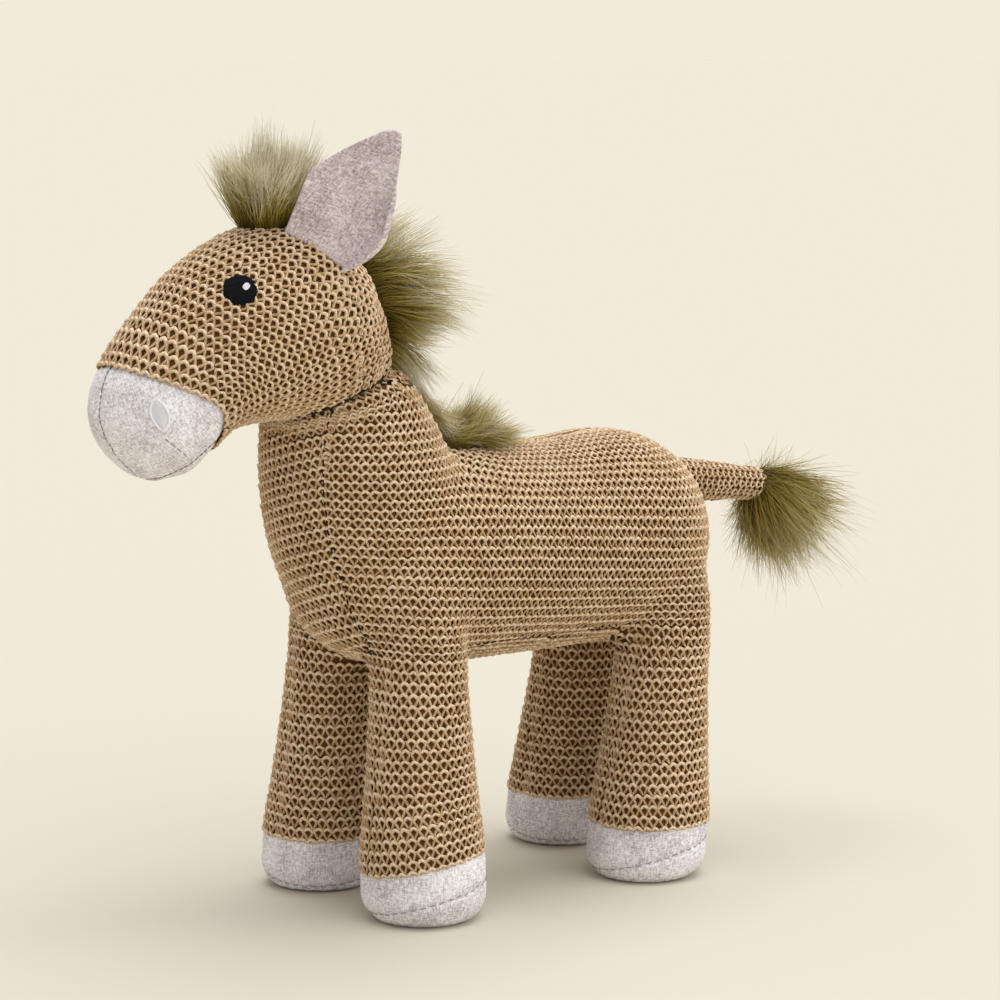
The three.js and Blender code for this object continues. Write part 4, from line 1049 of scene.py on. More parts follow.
# Rows of the face as a cubic in x and z around a middle point; they lean forward over the nose
faceRows = {"middle": (115, 210), "size": (50, 40), "rear": -0.3, "atSeam": 12.1, "firstRow": 0.6, "even": (2, 22),
            "cubic": (-13.294, 5.418, -2.095, 2.696, 0.733, 3.86, 1.494, -0.624, -0.483)}


# How far past the muzzle seam a point lies, with the seam's turn a little rounded
def pastSeam(points):
    over, under = (points - muzzleCorner) @ noseWay, (points - muzzleCorner) @ jawWay + muzzleSeam["jawBack"]
    rounding = muzzleSeam["rounding"]
    return -rounding * np.logaddexp(-over / rounding, -under / rounding)


# Rows of the face counted back from the muzzle: even along the cloth at first, then as the photo shows them
def rowsBack(points, behindSeam):
    f = faceRows
    c = f["cubic"]
    x, z = ((points[..., k] - f["middle"][i]) / f["size"][i] for i, k in enumerate((0, 2)))
    behind = np.minimum(x - f["rear"], 0)
    x = np.maximum(x, f["rear"])
    rows = (c[0] * x + c[1] * z + c[2] * x * x + c[3] * x * z + c[4] * z * z + c[5] * x ** 3 + c[6] * x * x * z
            + c[7] * x * z * z + c[8] * z ** 3)
    slope = c[0] + 2 * c[2] * x + c[3] * z + 3 * c[5] * x * x + 2 * c[6] * x * z + c[7] * z * z
    far = rows + slope * behind + f["atSeam"]
    near = (behindSeam - f["firstRow"]) / garter["rowPitch"]
    share = smoothStep(*f["even"], behindSeam)
    return near * (1 - share) + far * share


# Rings of the head from back to nose, and their middles
def headRings(inset, count, sides):
    h = headShape
    rows = smoothRows(headRows, count)
    x = headMiddle[0] - h["behind"] + rows[:, 0] * h["length"]
    middles = np.stack([x, np.zeros(count), headMiddle[2] - rows[:, 1] * h["drop"]], 1)
    heading = unit(np.gradient(middles, axis=0))
    upward = np.stack([-heading[:, 2], np.zeros(count), heading[:, 0]], 1)
    across = np.stack([np.zeros(count), rows[:, 4] * h["width"] / 2 - inset, np.zeros(count)], 1)
    up = upward * (rows[:, 2] * h["height"] / 2 - inset)[:, None]
    down = upward * (inset - rows[:, 3] * h["height"] / 2)[:, None]
    return ovalRings(middles, across, up, down, sides), middles


def gridNormals(rings):
    alongRing = np.roll(rings, -1, axis=1) - np.roll(rings, 1, axis=1)
    alongAxis = np.gradient(rings, axis=0)
    return unit(np.cross(alongAxis, alongRing))


headGrid, headAxis = headRings(headShape["inset"], headShape["rings"], headShape["sides"])
headNormals = gridNormals(headGrid)
middleOut = headGrid - headAxis[:, None]
if (headNormals * middleOut).sum() < 0:
    headNormals = -headNormals
# The back of the head is fuller low down, where it meets the neck, and slimmer above
rear = smoothStep(0.2, 0.8, -headNormals[:, :, 0])
fuller, slimmer = (size * np.exp(-((headGrid[:, :, 2] - at) / reach) ** 2) for size, at, reach in headBack.values())
headGrid = headGrid + headNormals * (rear * (fuller - slimmer))[:, :, None]
cheekReach = np.abs((headGrid - cheekSeam) @ backWay)
headGrid = headGrid - headNormals * (cheek["depth"] * np.exp(-(cheekReach / cheek["width"]) ** 2))[:, :, None]


# A ring between two rings of a grid
def onGrid(grid, row):
    i = min(int(row), len(grid) - 2)
    t = row - i
    return grid[i] * (1 - t) + grid[i + 1] * t


# Stitches in rings around a tube
def ringStitches(grid, normals, lengths, low, high, rowGap, pitch):
    rows = []
    for level in np.arange(low, high, rowGap):
        here, there = (onGrid(grid, np.interp(at, lengths, np.arange(len(lengths)))) for at in (level, level + rowGap))
        outward = onGrid(normals, np.interp(level, lengths, np.arange(len(lengths))))
        climb = here - there
        climb = climb / np.maximum((climb ** 2).sum(1, keepdims=True), 0.5) * garter["rowPitch"]
        turn = (np.arange(len(here) + 1) + len(here) * 3 // 4) % len(here)
        places = stitchesOnLine(here[turn], outward[turn], climb[turn], len(here) // 4, closed=True, pitch=pitch)
        rows.append((*places, np.zeros(len(places[0]), int)))
    return gather(rows)


gridFaces = ringFaces(headShape["rings"], headShape["sides"])
gridPoints = headGrid.reshape(-1, 3)
gridTriangles = np.concatenate([gridFaces[:, [0, 1, 2]], gridFaces[:, [0, 2, 3]]])
# Length along the cloth from the back of the head, and from there to the muzzle's seam
steps = np.linalg.norm(np.diff(headGrid, axis=0), axis=2)
fromBack = np.concatenate([np.zeros((1, headShape["sides"])), np.cumsum(steps, axis=0)])
backField = -fromBack.ravel()
ahead = pastSeam(headGrid)
column, past = np.arange(headShape["sides"]), np.argmax(ahead > 0, axis=0)
t = ahead[past - 1, column] / (ahead[past - 1, column] - ahead[past, column])
toSeam = fromBack[past - 1, column] * (1 - t) + fromBack[past, column] * t
headField = rowsBack(gridPoints, (toSeam - fromBack).ravel()) * garter["rowPitch"]
flatNormals = headNormals.reshape(-1, 3)
pastCheek = (gridPoints - cheekSeam) @ backWay
nearKnit = headField[gridTriangles].min(1) > -4  # just over one row past the seam
inFront = nearKnit & (pastCheek[gridTriangles].min(1) < cheek["lap"])
inBack = pastCheek[gridTriangles].max(1) > -cheek["lap"]
headStitches = gather([panelStitches(gridPoints, flatNormals, gridTriangles[part], field,
                                     lambda line: int(np.argmax(line[:, 1])), pitch=headShape["stitchPitch"])
                       for part, field in ((inFront, headField), (inBack, backField))])
spots = headStitches[0]
keep = (pastSeam(spots) < muzzleSeam["lap"]) & (np.linalg.norm(spots - neckPivot, axis=1) > headShape["knitFrom"])
keep &= np.abs((spots - cheekSeam) @ backWay) > cheek["clear"]
headStitches = [s[keep] for s in headStitches]
headStitches[4][pastSeam(headStitches[0]) > -muzzleSeam["edgeRow"]] = 1
behind = (headStitches[0] - cheekSeam) @ backWay > 0
faceMiddle = gridPoints[gridFaces].mean(1)
# The head's dark sheet of painted shade stops short of the muzzle seam and of the neck
onKnit = pastSeam(faceMiddle) < -muzzleSeam["shadeSheetEnd"]
onKnit &= np.linalg.norm(faceMiddle - neckPivot, axis=1) > headShape["shadeSheetFrom"]
faceBehind = (faceMiddle - cheekSeam) @ backWay > 0
for name, stitches, faces, nodes in (
        ("head_face", ~behind, onKnit & ~faceBehind, ["head_face_cover", "head_filling"]),
        ("head_back", behind, onKnit & faceBehind, ["head_back_gusset"])):
    used, shell = np.unique(gridFaces[faces], return_inverse=True)
    # A dark sheet of painted shade under the head's stitches
    cloth = meshObject(name + "_backing", gridPoints[used], shell.reshape(-1, 4).tolist(), material=shadeSheet)
    knit = knitPiece(name + "_knit", [s[stitches] for s in headStitches], 40)
    for obj in (cloth, knit):
        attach(obj, "head")
    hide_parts(*nodes)
    print(name, int(stitches.sum()), "stitches")
headTree = BVHTree.FromPolygons(gridPoints.tolist(), gridFaces.tolist())


# Where a line from outside meets the head, and the way out there
def onHead(start, toward):
    spot, normal, _, _ = headTree.ray_cast(Vector(start), (Vector(toward) - Vector(start)).normalized())
    normal = np.array(normal)
    if normal @ (np.array(start) - np.array(toward)) < 0:
        normal = -normal
    return np.array(spot), normal


print("stage: tail")
tailRoot = np.array([-79.7, 0, 147])
tailWay = np.array([-math.cos(math.radians(7)), 0, -math.sin(math.radians(7))])
tailShape = {"length": 50, "rootRadius": 8.2, "tipRadius": 5.5, "inset": 0.5, "rings": 60, "sides": 48, "pitch": 3.1,
             "firstRow": 3, "lastRow": 1, "bend": (2, 16)}


# Rings of the tail from root to tip, and their middles
def tailRings(count, sides):
    t = np.linspace(0, 1, count)
    middles = tailRoot + t[:, None] * tailShape["length"] * tailWay
    radius = tailShape["rootRadius"] + (tailShape["tipRadius"] - tailShape["rootRadius"]) * t - tailShape["inset"]
    up = np.array([-tailWay[2], 0, tailWay[0]]) * -1
    side = np.array([0, 1, 0])
    return ovalRings(middles, radius[:, None] * side, radius[:, None] * up, -radius[:, None] * up, sides), middles


tailGrid, tailAxis = tailRings(tailShape["rings"], tailShape["sides"])
tailNormals = unit(tailGrid - tailAxis[:, None])
tailLengths = np.linspace(0, tailShape["length"], tailShape["rings"])
tailStitches = ringStitches(tailGrid, tailNormals, tailLengths, tailShape["firstRow"],
                            tailShape["length"] - tailShape["lastRow"], tailShape["pitch"], tailShape["pitch"])
tailFaces = ringFaces(tailShape["rings"], tailShape["sides"]).tolist()
# A dark sheet of painted shade under the tail's stitches
tailShadeSheet = meshObject("tail_backing", tailGrid.reshape(-1, 3), tailFaces, material=shadeSheet)
tailKnit = knitPiece("tail_knit", tailStitches, 60)
for obj in (tailShadeSheet, tailKnit):
    start, end = (tuple((tailRoot + tailWay * far) * mm) for far in tailShape["bend"])
    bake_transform(obj)
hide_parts("tail_cover", "tail_filling")

# Threads along the edges of the chest and belly gussets, dark as painted shadow in the seam; scraps of a seam are left
# out
gussetThread = {"dash": 2.6, "gap": 0.9, "radius": 0.4, "lift": 1.3}
for gusset, number in (("chest", 2), ("belly", 3)):
    pairs = edges[higher == number]
    pairs = pairs[(legOf(bodyPoints[pairs].mean(1)) < 0)]
    for count, line in enumerate(chains(pairs, len(bodyPoints))):
        if len(line) > 12:
            thread = dashes(f"{gusset}_seam_{count}", bodyPoints[line], bodyNormals[line], seamShadowThread, **gussetThread)
            follow(thread, gusset)


print("stage: linen")


# Cloth coordinates in millimetres, one pair a point
def clothMap(obj, pairs):
    layer = obj.data.uv_layers.new(name="cloth")
    corners = np.empty(len(obj.data.loops), np.int32)
    obj.data.loops.foreach_get("vertex_index", corners)
    layer.data.foreach_set("uv", np.asarray(pairs, np.float32)[corners].ravel())


muzzle = {"inset": 0.8, "tuck": 2.5, "rings": 300, "steps": 60, "sides": 160, "chinDrop": -8.8, "seamDepth": 0.8,
          "seamWidth": 0.9, "seamShare": 0.8, "edgeShare": 0.9, "edgeWidth": 1.6, "tuckShare": 0.4, "pucker": 0.16,
          "puckerReach": 5}
muzzleThread = {"dash": 1.7, "gap": 0.5, "radius": 0.17}
cheekThread = {"dash": 2.3, "gap": 1.2, "radius": 0.28, "lift": 1.15}
dart = {"ahead": (78.6, 68.9), "up": (-36, -43.6), "points": 12, "out": 0.2}
dartThread = {"dash": 2.6, "gap": 0.3, "radius": 0.18}
noseTip = np.array([169.39, 0, 171.1])
chinUp = np.array([0.62008, 0, 0.78454])  # square to the muzzle's length


# The linen starts a little behind the seam, tucked under the knit
def muzzleSurface():
    m = muzzle
    rings, _ = headRings(m["inset"], m["rings"], m["sides"])
    columns = []
    for j in range(m["sides"]):
        line = rings[:, j]
        ahead = pastSeam(line) + m["tuck"]
        k = int(np.argmax(ahead > 0))
        t = ahead[k - 1] / (ahead[k - 1] - ahead[k])
        line = np.concatenate([[line[k - 1] * (1 - t) + line[k] * t], line[k:]])
        length = np.concatenate([[0], np.cumsum(np.linalg.norm(np.diff(line, axis=0), axis=1))])
        at = np.linspace(0, length[-1], m["steps"])
        columns.append(np.stack([np.interp(at, length, line[:, i]) for i in range(3)], 1))
    grid = np.stack(columns, 1)
    points = np.concatenate([grid.reshape(-1, 3), [noseTip - unit(noseTip - muzzleCorner) * m["inset"]]])
    faces = ringFaces(m["steps"], m["sides"]).tolist()
    last = (m["steps"] - 1) * m["sides"]
    faces += [(last + j, last + (j + 1) % m["sides"], len(points) - 1) for j in range(m["sides"])]
    return points, faces


muzzlePoints, muzzleFaces = muzzleSurface()
muzzleObject = meshObject("muzzle_linen", muzzlePoints, muzzleFaces, material=linen)
_, triangles = pointsAndTriangles(muzzleObject.data)
normals = pointNormals(muzzlePoints, triangles)
if (normals * (muzzlePoints - muzzleCorner)).sum() < 0:
    normals = -normals
chinHeight = (muzzlePoints - noseTip) @ chinUp - muzzle["chinDrop"]
centreReach = np.where(chinHeight > -1, np.abs(muzzlePoints[:, 1]), 99)
edgeReach = pastSeam(muzzlePoints)
seams = np.exp(-(centreReach / muzzle["seamWidth"]) ** 2) + np.exp(-(chinHeight / muzzle["seamWidth"]) ** 2)
sunk = seams * muzzle["seamShare"]
sunk += (muzzle["edgeShare"] * np.exp(-(np.maximum(edgeReach, 0) / muzzle["edgeWidth"]) ** 2)
         + muzzle["tuckShare"] * np.maximum(-edgeReach, 0))
ripple = np.sin(muzzlePoints[:, 0] * 0.9 + muzzlePoints[:, 2] * 0.6)
pucker = muzzle["pucker"] * ripple * np.exp(-np.minimum(centreReach, np.abs(chinHeight)) / muzzle["puckerReach"])
muzzlePoints = muzzlePoints - normals * (sunk * muzzle["seamDepth"] + pucker)[:, None]
muzzleObject.data.vertices.foreach_set("co", (muzzlePoints * mm).astype(np.float32).ravel())
clothMap(muzzleObject, np.stack([(muzzlePoints - muzzleCorner) @ muzzleWay - np.abs(muzzlePoints[:, 1]),
                                 (muzzlePoints - muzzleCorner) @ chinUp], 1))
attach(muzzleObject, "head")
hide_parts("muzzle_left", "muzzle_right", "muzzle_chin")

# Thread along the seam behind the cheek, dark as painted shadow in the seam
cheekLines = []
for first, second, share in levelLines(gridTriangles, pastCheek, 0):
    line = gridPoints[first] * (1 - share) + gridPoints[second] * share
    cheekLines.append((line, flatNormals[first] * (1 - share) + flatNormals[second] * share))
line, outward = max(cheekLines, key=lambda pair: len(pair[0]))
clear = np.linalg.norm(line - neckPivot, axis=1) > cheek["threadFrom"]
start = int(np.argmin(clear)) if not clear.all() else 0
line, outward, clear = (np.roll(a[:-1], -start, axis=0) for a in (line, outward, clear))
cheekStitches = dashes("cheek_seam_stitches", line[clear], outward[clear], seamShadowThread, **cheekThread)
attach(cheekStitches, "head")

# Threads of the muzzle: the middle seam, the chin seam and the short dart at the corner of the mouth
grid = muzzlePoints[:-1].reshape(muzzle["steps"], muzzle["sides"], 3)
ways = normals[:-1].reshape(muzzle["steps"], muzzle["sides"], 3)
top, bottom = muzzle["sides"] // 4, 3 * muzzle["sides"] // 4
under = (grid[:, bottom] - noseTip) @ chinUp > muzzle["chinDrop"]
middleLine = np.concatenate([grid[:, top], muzzlePoints[-1:], grid[under, bottom][::-1]])
middleWays = np.concatenate([ways[:, top], normals[-1:], ways[under, bottom][::-1]])
muzzleThreads = [dashes("muzzle_middle_stitches", middleLine, middleWays, linenThread, **muzzleThread)]
for number, (first, second, share) in enumerate(levelLines(triangles, chinHeight, 0)):
    line = muzzlePoints[first] * (1 - share) + muzzlePoints[second] * share
    outward = normals[first] * (1 - share) + normals[second] * share
    if len(line) > 20:
        muzzleThreads.append(dashes(f"muzzle_chin_stitches_{number}", line, outward, linenThread, **muzzleThread))
for side, hand in (("left", 1), ("right", -1)):
    spots = [onHead(headMiddle + (a, hand * 90, u), headMiddle + (a, 0, u)) for a, u in
             zip(np.linspace(*dart["ahead"], dart["points"]), np.linspace(*dart["up"], dart["points"]))]
    line, outward = np.array([s[0] for s in spots]), np.array([unit(s[1]) for s in spots])
    line = line + outward * dart["out"]
    muzzleThreads.append(dashes(f"muzzle_{side}_dart", line, outward, linenThread, **dartThread))
for obj in muzzleThreads:
    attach(obj, "head")

hoof = {"sides": 120, "wallRows": 26, "roundRows": 40, "soleRows": 14, "inset": 0.4, "tuck": 1.4, "cuffSink": 1.2,
        "seamDepth": 0.7, "seamWidth": 0.9, "pucker": 0.12, "puckerReach": 4, "clothSeam": 2.2}
hoofThread = {"dash": 2.2, "gap": 1.5, "radius": 0.18}


# Points and outward ways of a hoof; rows of the wall follow its upper seam
def hoofGrid(name, wall):
    s = stance
    angle = np.arange(hoof["sides"]) * 2 * math.pi / hoof["sides"]
    way = np.stack([np.cos(angle), np.sin(angle), 0 * angle], 1)
    rim = legLine(name, np.zeros(len(angle))) + way * s["hoofRadius"]
    lean = cuffHeight(name, rim) - s["hoofHeight"]
    share = np.clip((wall - s["hoofRounding"]) / (s["hoofHeight"] - s["hoofRounding"]), 0, 1)[:, None]
    height = wall[:, None] + lean * share
    above, below = height + 0.05, np.maximum(height - 0.05, 0)
    slope = (legRadius(above) - legRadius(below)) / (above - below)
    outward = unit(np.stack(np.broadcast_arrays(way[:, 0], way[:, 1], -slope), -1))
    radius = legRadius(height) - hoof["inset"]
    return legLine(name, height) + radius[..., None] * way, outward


# One hoof of linen with the puckered seam of its sole
def hoofPiece(name):
    s = stance
    wall = np.concatenate([np.linspace(s["hoofHeight"] + hoof["tuck"], s["hoofRounding"], hoof["wallRows"]),
                           s["hoofRounding"] * (1 - np.sin(np.linspace(0.05, math.pi / 2, hoof["roundRows"])))])
    grid, outward = hoofGrid(name, wall)
    reach = (grid[..., 2] - soleSeam(name, grid)) * np.sqrt(np.maximum(0.05, 1 - outward[..., 2] ** 2))
    depth = hoof["seamDepth"] * np.exp(-(reach / hoof["seamWidth"]) ** 2)
    depth = depth + hoof["cuffSink"] * smoothStep(s["hoofHeight"] - 1.5, s["hoofHeight"] + 1, wall)[:, None]
    ripple = np.sin(np.arange(hoof["sides"]) * 0.9 + reach * 0.8)
    depth = depth + hoof["pucker"] * ripple * np.exp(-np.abs(reach) / hoof["puckerReach"])
    rings = grid - outward * depth[..., None]
    middle = legLine(name, np.zeros(1))[0]
    shrink = np.linspace(1, 0.04, hoof["soleRows"])[1:, None, None]
    rings = np.concatenate([rings, middle + (rings[-1] - middle) * shrink])
    count = len(rings)
    points = np.concatenate([rings.reshape(-1, 3), [middle]])
    faces = ringFaces(count, hoof["sides"])[:, ::-1].tolist()
    last = (count - 1) * hoof["sides"]
    faces += [(last + (j + 1) % hoof["sides"], last + j, len(points) - 1) for j in range(hoof["sides"])]
    obj = meshObject(f"hoof_{name}_linen", points, faces, material=linen)
    angle = np.arange(hoof["sides"]) * 2 * math.pi / hoof["sides"]
    around = np.abs((angle + hoof["clothSeam"]) % (2 * math.pi) - math.pi)
    pairs = np.stack([np.broadcast_to(around * s["hoofRadius"], rings.shape[:2]), rings[..., 2]], -1).reshape(-1, 2)
    pairs = np.where((rings.reshape(-1, 3)[:, 2] < 0.5)[:, None], rings.reshape(-1, 3)[:, :2], pairs)
    clothMap(obj, np.concatenate([pairs, [middle[:2]]]))
    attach(obj, "leg_" + name)
    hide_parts(f"hoof_{name}_wall", f"hoof_{name}_sole")
    above = grid[..., 2] > soleSeam(name, grid)
    row = np.argmin(above[:len(wall)], axis=0)
    column = np.arange(hoof["sides"])
    loop, ways = rings[row, column], outward[row, column]
    loop, ways = np.concatenate([loop, loop[:1]]), np.concatenate([ways, ways[:1]])
    seam = dashes(f"hoof_{name}_stitches", loop, ways, soleThread, **hoofThread)
    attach(seam, "leg_" + name)


for name in legNames:
    hoofPiece(name)

ear = {"position": (99.35, 21.34, 247.98), "rootWay": (-0.76723, 0.51282, -0.3852),
       "reach": {"left": (-22, 20, 37), "right": (-28, 28, 26)}, "thick": 2.2, "edge": 0.25, "cup": 2.6, "wave": 1.2,
       "roll": 2.6, "rollLength": 6.5, "unroll": (0.45, 0.85), "rows": 44, "columns": 52}
# Height and side of the near edge, then of the far edge, from root to tip
earOutline = [(-1.2, -13.2, -6.5, 12.4), (7, -15.6, 2, 16.4), (14.7, -17.7, 10, 16.7), (22.5, -19.7, 19, 13.2),
              (28.4, -18.2, 27, 9.7), (35, -15.3, 34, 6.2), (42, -11.2, 41, 2.6), (47, -7.8, 46.4, -0.6),
              (49, -4.6, 48.8, -2.6)]


# A cupped leaf of linen, with its far edge rolled in near the root
def earPiece(side, hand):
    e = ear
    root = np.array(e["rootWay"])
    up = unit(np.array(e["reach"][side], float))
    face = unit(np.cross(root, up))
    rows = smoothRows(earOutline, e["rows"])
    t = np.linspace(0, 1, e["rows"])[:, None]
    s = np.linspace(-1, 1, e["columns"])[None, :]
    bend = (1 - smoothStep(0.4, 0.75, t)) * 0.97 / e["roll"] + 0.004
    rolled = e["rollLength"] * (1 - smoothStep(*e["unroll"], t)) + 0.02
    reach = np.where(bend * rolled > math.pi / 2, 1 / bend, np.sin(bend * rolled) / bend)
    near, far = rows[:, 1:2], rows[:, 3:4] - reach
    flatTo = 1.5 + 0.5 * smoothStep(*e["unroll"], t)
    arc = np.where(flatTo > 1.999, 0, np.maximum(0, (s + 1 - flatTo) / np.maximum(2 - flatTo, 1e-3)) * rolled)
    flat = near + (far - near) * np.minimum(1, (s + 1) / flatTo)
    across = flat + np.sin(bend * arc) / bend
    height = rows[:, 0:1] + (rows[:, 2:3] - rows[:, 0:1]) * (s + 1) / 2
    middle = 2 * (across - rows[:, 1:2]) / np.maximum(rows[:, 3:4] - rows[:, 1:2], 1) - 1
    curl = e["cup"] * middle ** 2 * smoothStep(0, 0.3, t) + (1 - np.cos(bend * arc)) / bend
    curl = curl + e["wave"] * np.sin(t * 3.2 + s) * smoothStep(0.2, 1, t)
    # Creases, from three waves that cross
    crease = (0.3 * np.sin(0.31 * across + 0.17 * height + 2.1 * np.sin(0.13 * height + 0.2 * across))
              + 0.22 * np.sin(0.83 * height - 0.29 * across + 1.7 * np.sin(0.37 * across))
              + 0.12 * np.sin(1.3 * across + 0.9 * height + 2 * np.sin(0.5 * height)))
    curl = curl + crease * smoothStep(0, 0.2, t) * (1 - s ** 4)
    sheet = across[..., None] * root + height[..., None] * up + curl[..., None] * face
    normal = unit(np.cross(np.gradient(sheet, axis=1), np.gradient(sheet, axis=0)))
    thick = e["thick"] / 2 * (1 - np.abs(s) ** 5) * (1 - np.maximum(0, t - 0.8) ** 2 * 20).clip(0.1, 1) + e["edge"]
    front, back = sheet + normal * thick[..., None], sheet - normal * thick[..., None]
    count = e["rows"] * e["columns"]
    points = np.concatenate([front.reshape(-1, 3), back.reshape(-1, 3)])
    faces = []
    w = e["columns"]
    for i in range(e["rows"] - 1):
        for j in range(w - 1):
            a = i * w + j
            faces.append((a, a + 1, a + w + 1, a + w))
            faces.append((count + a, count + a + w, count + a + w + 1, count + a + 1))
        for a, b in ((i * w, (i + 1) * w), ((i + 1) * w + w - 1, i * w + w - 1)):
            faces.append((a, b, count + b, count + a))
    for j in range(w - 1):
        a = (e["rows"] - 1) * w + j
        faces.append((a, a + 1, count + a + 1, count + a))
        faces.append((j + 1, j, count + j, count + j + 1))
    points = points + np.array(e["position"])
    pairs = np.concatenate([np.stack([across, height], -1).reshape(-1, 2)] * 2)
    if hand < 0:
        points = points * (1, -1, 1)
        faces = [f[::-1] for f in faces]
    # The ear takes the darker copy of the linen, painted shade
    obj = meshObject(f"ear_{side}_linen", points, faces, material=earShadedLinen)
    clothMap(obj, pairs)
    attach(obj, "ear_" + side)
    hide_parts(f"ear_{side}_front", f"ear_{side}_back")


for side, hand in (("left", 1), ("right", -1)):
    earPiece(side, hand)


print("stage: embroidery")
eye = {"ahead": 47.6, "up": 13, "radius": 5.7, "dome": 1.3, "domeRim": 0.5, "threads": 44, "thread": 0.2, "rag": 0.55,
       "sway": 0.06, "tilt": 14, "lift": 0.9, "padLift": 0.75, "padSides": 48}
glintSpot = {"threads": 6, "thread": 0.19, "aside": 2.1, "up": 0.7, "halfWidth": 1.15, "halfHeight": 1.5, "slant": 0.25,
             "lift": 1.2}
nostril = {"ahead": 80, "up": -28, "length": 10.8, "width": 5.6, "threads": 26, "thread": 0.24, "lean": -1.3,
           "point": 0.85, "outline": 0.5, "outlineLift": 0.55}


# Flat frame on the head: spot, sideways, upward and outward
def headSpot(ahead, up, hand):
    spot = headMiddle + (ahead, 0, up)
    at, normal = onHead(spot + (0, hand * 90, 0), spot)
    normal = unit(normal)
    sideways = unit(np.cross((0, 0, 1), normal))
    return at, sideways, np.cross(normal, sideways), normal


# Points on that frame
def onSpot(spot, x, y, w):
    at, right, up, out = spot
    return at + x[..., None] * right + y[..., None] * up + w[..., None] * out


# How high the eye stands at a place on it
def eyeDome(x, y):
    flatness = np.clip(1 - (x ** 2 + y ** 2) / (eye["radius"] + eye["domeRim"]) ** 2, 0, 1)
    return eye["dome"] * np.sqrt(flatness)


# A padded disc under ragged threads, with a small glint sewn over it
def embroiderEye(side, hand):
    spot = headSpot(eye["ahead"], eye["up"], hand)
    r = eye["radius"]
    level = np.linspace(-0.97, 0.97, eye["threads"])
    half = np.sqrt(1 - level ** 2) * r
    ragged = chance.uniform(0, eye["rag"], (len(level), 2))
    s = np.linspace(-1, 1, 9)
    u = np.where(s < 0, s * (half[:, None] + ragged[:, :1]), s * (half[:, None] + ragged[:, 1:]))
    v = np.broadcast_to(level[:, None] * r, u.shape) + chance.normal(0, eye["sway"], (len(level), 1))
    w = eyeDome(u, v) + eye["lift"]
    tilt = math.radians(eye["tilt"])
    x, y = u * math.cos(tilt) - v * math.sin(tilt), u * math.sin(tilt) + v * math.cos(tilt)
    threads = strandPiece(f"eye_{side}_threads", onSpot(spot, x, y, w), eye["thread"], blackThread, sides=5)
    rings = np.linspace(1, 0.05, 10)[:, None]
    sides = eye["padSides"]
    angle = np.arange(sides) * 2 * math.pi / sides
    w = np.broadcast_to(eye["dome"] * np.sqrt(np.maximum(0, 1 - rings * rings)) + eye["padLift"], (len(rings), sides))
    points = onSpot(spot, np.cos(angle) * rings * r, np.sin(angle) * rings * r, w)
    faces = ringFaces(len(rings), sides).tolist() + [[(len(rings) - 1) * sides + j for j in range(sides)]]
    pad = meshObject(f"eye_{side}_pad", points.reshape(-1, 3), faces, material=blackThread)
    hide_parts(f"eye_{side}")
    g = glintSpot
    s = np.linspace(-1, 1, 5)
    row = np.linspace(-0.9, 0.9, g["threads"])
    x = row[:, None] * g["halfWidth"] + s * g["slant"] + hand * g["aside"]
    y = s * np.sqrt(1 - row[:, None] ** 2) * g["halfHeight"] + g["up"]
    lines = onSpot(spot, x, y, eyeDome(x, y) + g["lift"])
    glint = strandPiece(f"eye_{side}_glint", lines, g["thread"], whiteThread, sides=5)
    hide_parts(f"eye_glint_{side}")
    for obj, dye in ((threads, "black_thread"), (pad, "black_thread"), (glint, "white_thread")):
        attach(obj, "head")


# A leaf of satin stitches with a corded edge
def embroiderNostril(side, hand):
    spot = headSpot(nostril["ahead"], nostril["up"], hand)
    lean = hand * nostril["lean"]
    level = np.linspace(-0.96, 0.96, nostril["threads"])
    half = nostril["width"] / 2 * (1 - level ** 2) ** nostril["point"] + 0.15
    s = np.linspace(-1, 1, 7)
    x = half[:, None] * s + level[:, None] * lean
    y = np.broadcast_to(level[:, None] * nostril["length"] / 2, x.shape) + s * 0.5
    w = np.broadcast_to(0.35 + 0.55 * (1 - s ** 2), x.shape)
    satin = strandPiece(f"nostril_{side}_satin", onSpot(spot, x, y, w), nostril["thread"], greyThread, sides=5)
    angle = np.linspace(0, 2 * math.pi, 49)
    level = np.cos(angle)
    half = nostril["width"] / 2 * np.abs(1 - level ** 2) ** nostril["point"] + 0.25
    x = half * np.sign(np.sin(angle) + 1e-9) + level * lean
    y = level * nostril["length"] / 2 * 1.02
    rim = onSpot(spot, x, y, np.full(len(x), nostril["outlineLift"]))[None]
    outline = strandPiece(f"nostril_{side}_outline", rim, nostril["outline"], whiteThread, sides=6)
    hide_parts(f"nostril_{side}")
    for obj in (satin, outline):
        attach(obj, "head")


for side, hand in (("left", 1), ("right", -1)):
    embroiderEye(side, hand)
    embroiderNostril(side, hand)

# The cord that closes head to neck lies where the head meets a ball around the neck's pivot; it is dark as painted
# shadow in the seam
seamRing = {"ball": 42.6, "cord": 0.8, "out": 1.5}
rings = levelLines(gridTriangles, np.linalg.norm(gridPoints - neckPivot, axis=1) - seamRing["ball"], 0)
first, second, share = max(rings, key=lambda ring: len(ring[0]))
ring = gridPoints[first] * (1 - share) + gridPoints[second] * share
aside = ring - neckPivot - ((ring - neckPivot) @ neckAxis)[:, None] * neckAxis
lines = (ring + unit(aside) * seamRing["out"])[None]
seamStitches = strandPiece("neck_seam_stitches", lines, seamRing["cord"], seamShadowThread, sides=6)
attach(seamStitches, "neck_seam")
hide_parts("neck_seam_cord")


print("stage: fur")
bodyTree = BVHTree.FromPolygons(bodyPoints.tolist(), bodyTriangles.tolist())


hairSway = 0.2
guardHair = {"thick": 0.11, "longer": (1.05, 1.3), "astray": 3, "bend": 2.5}


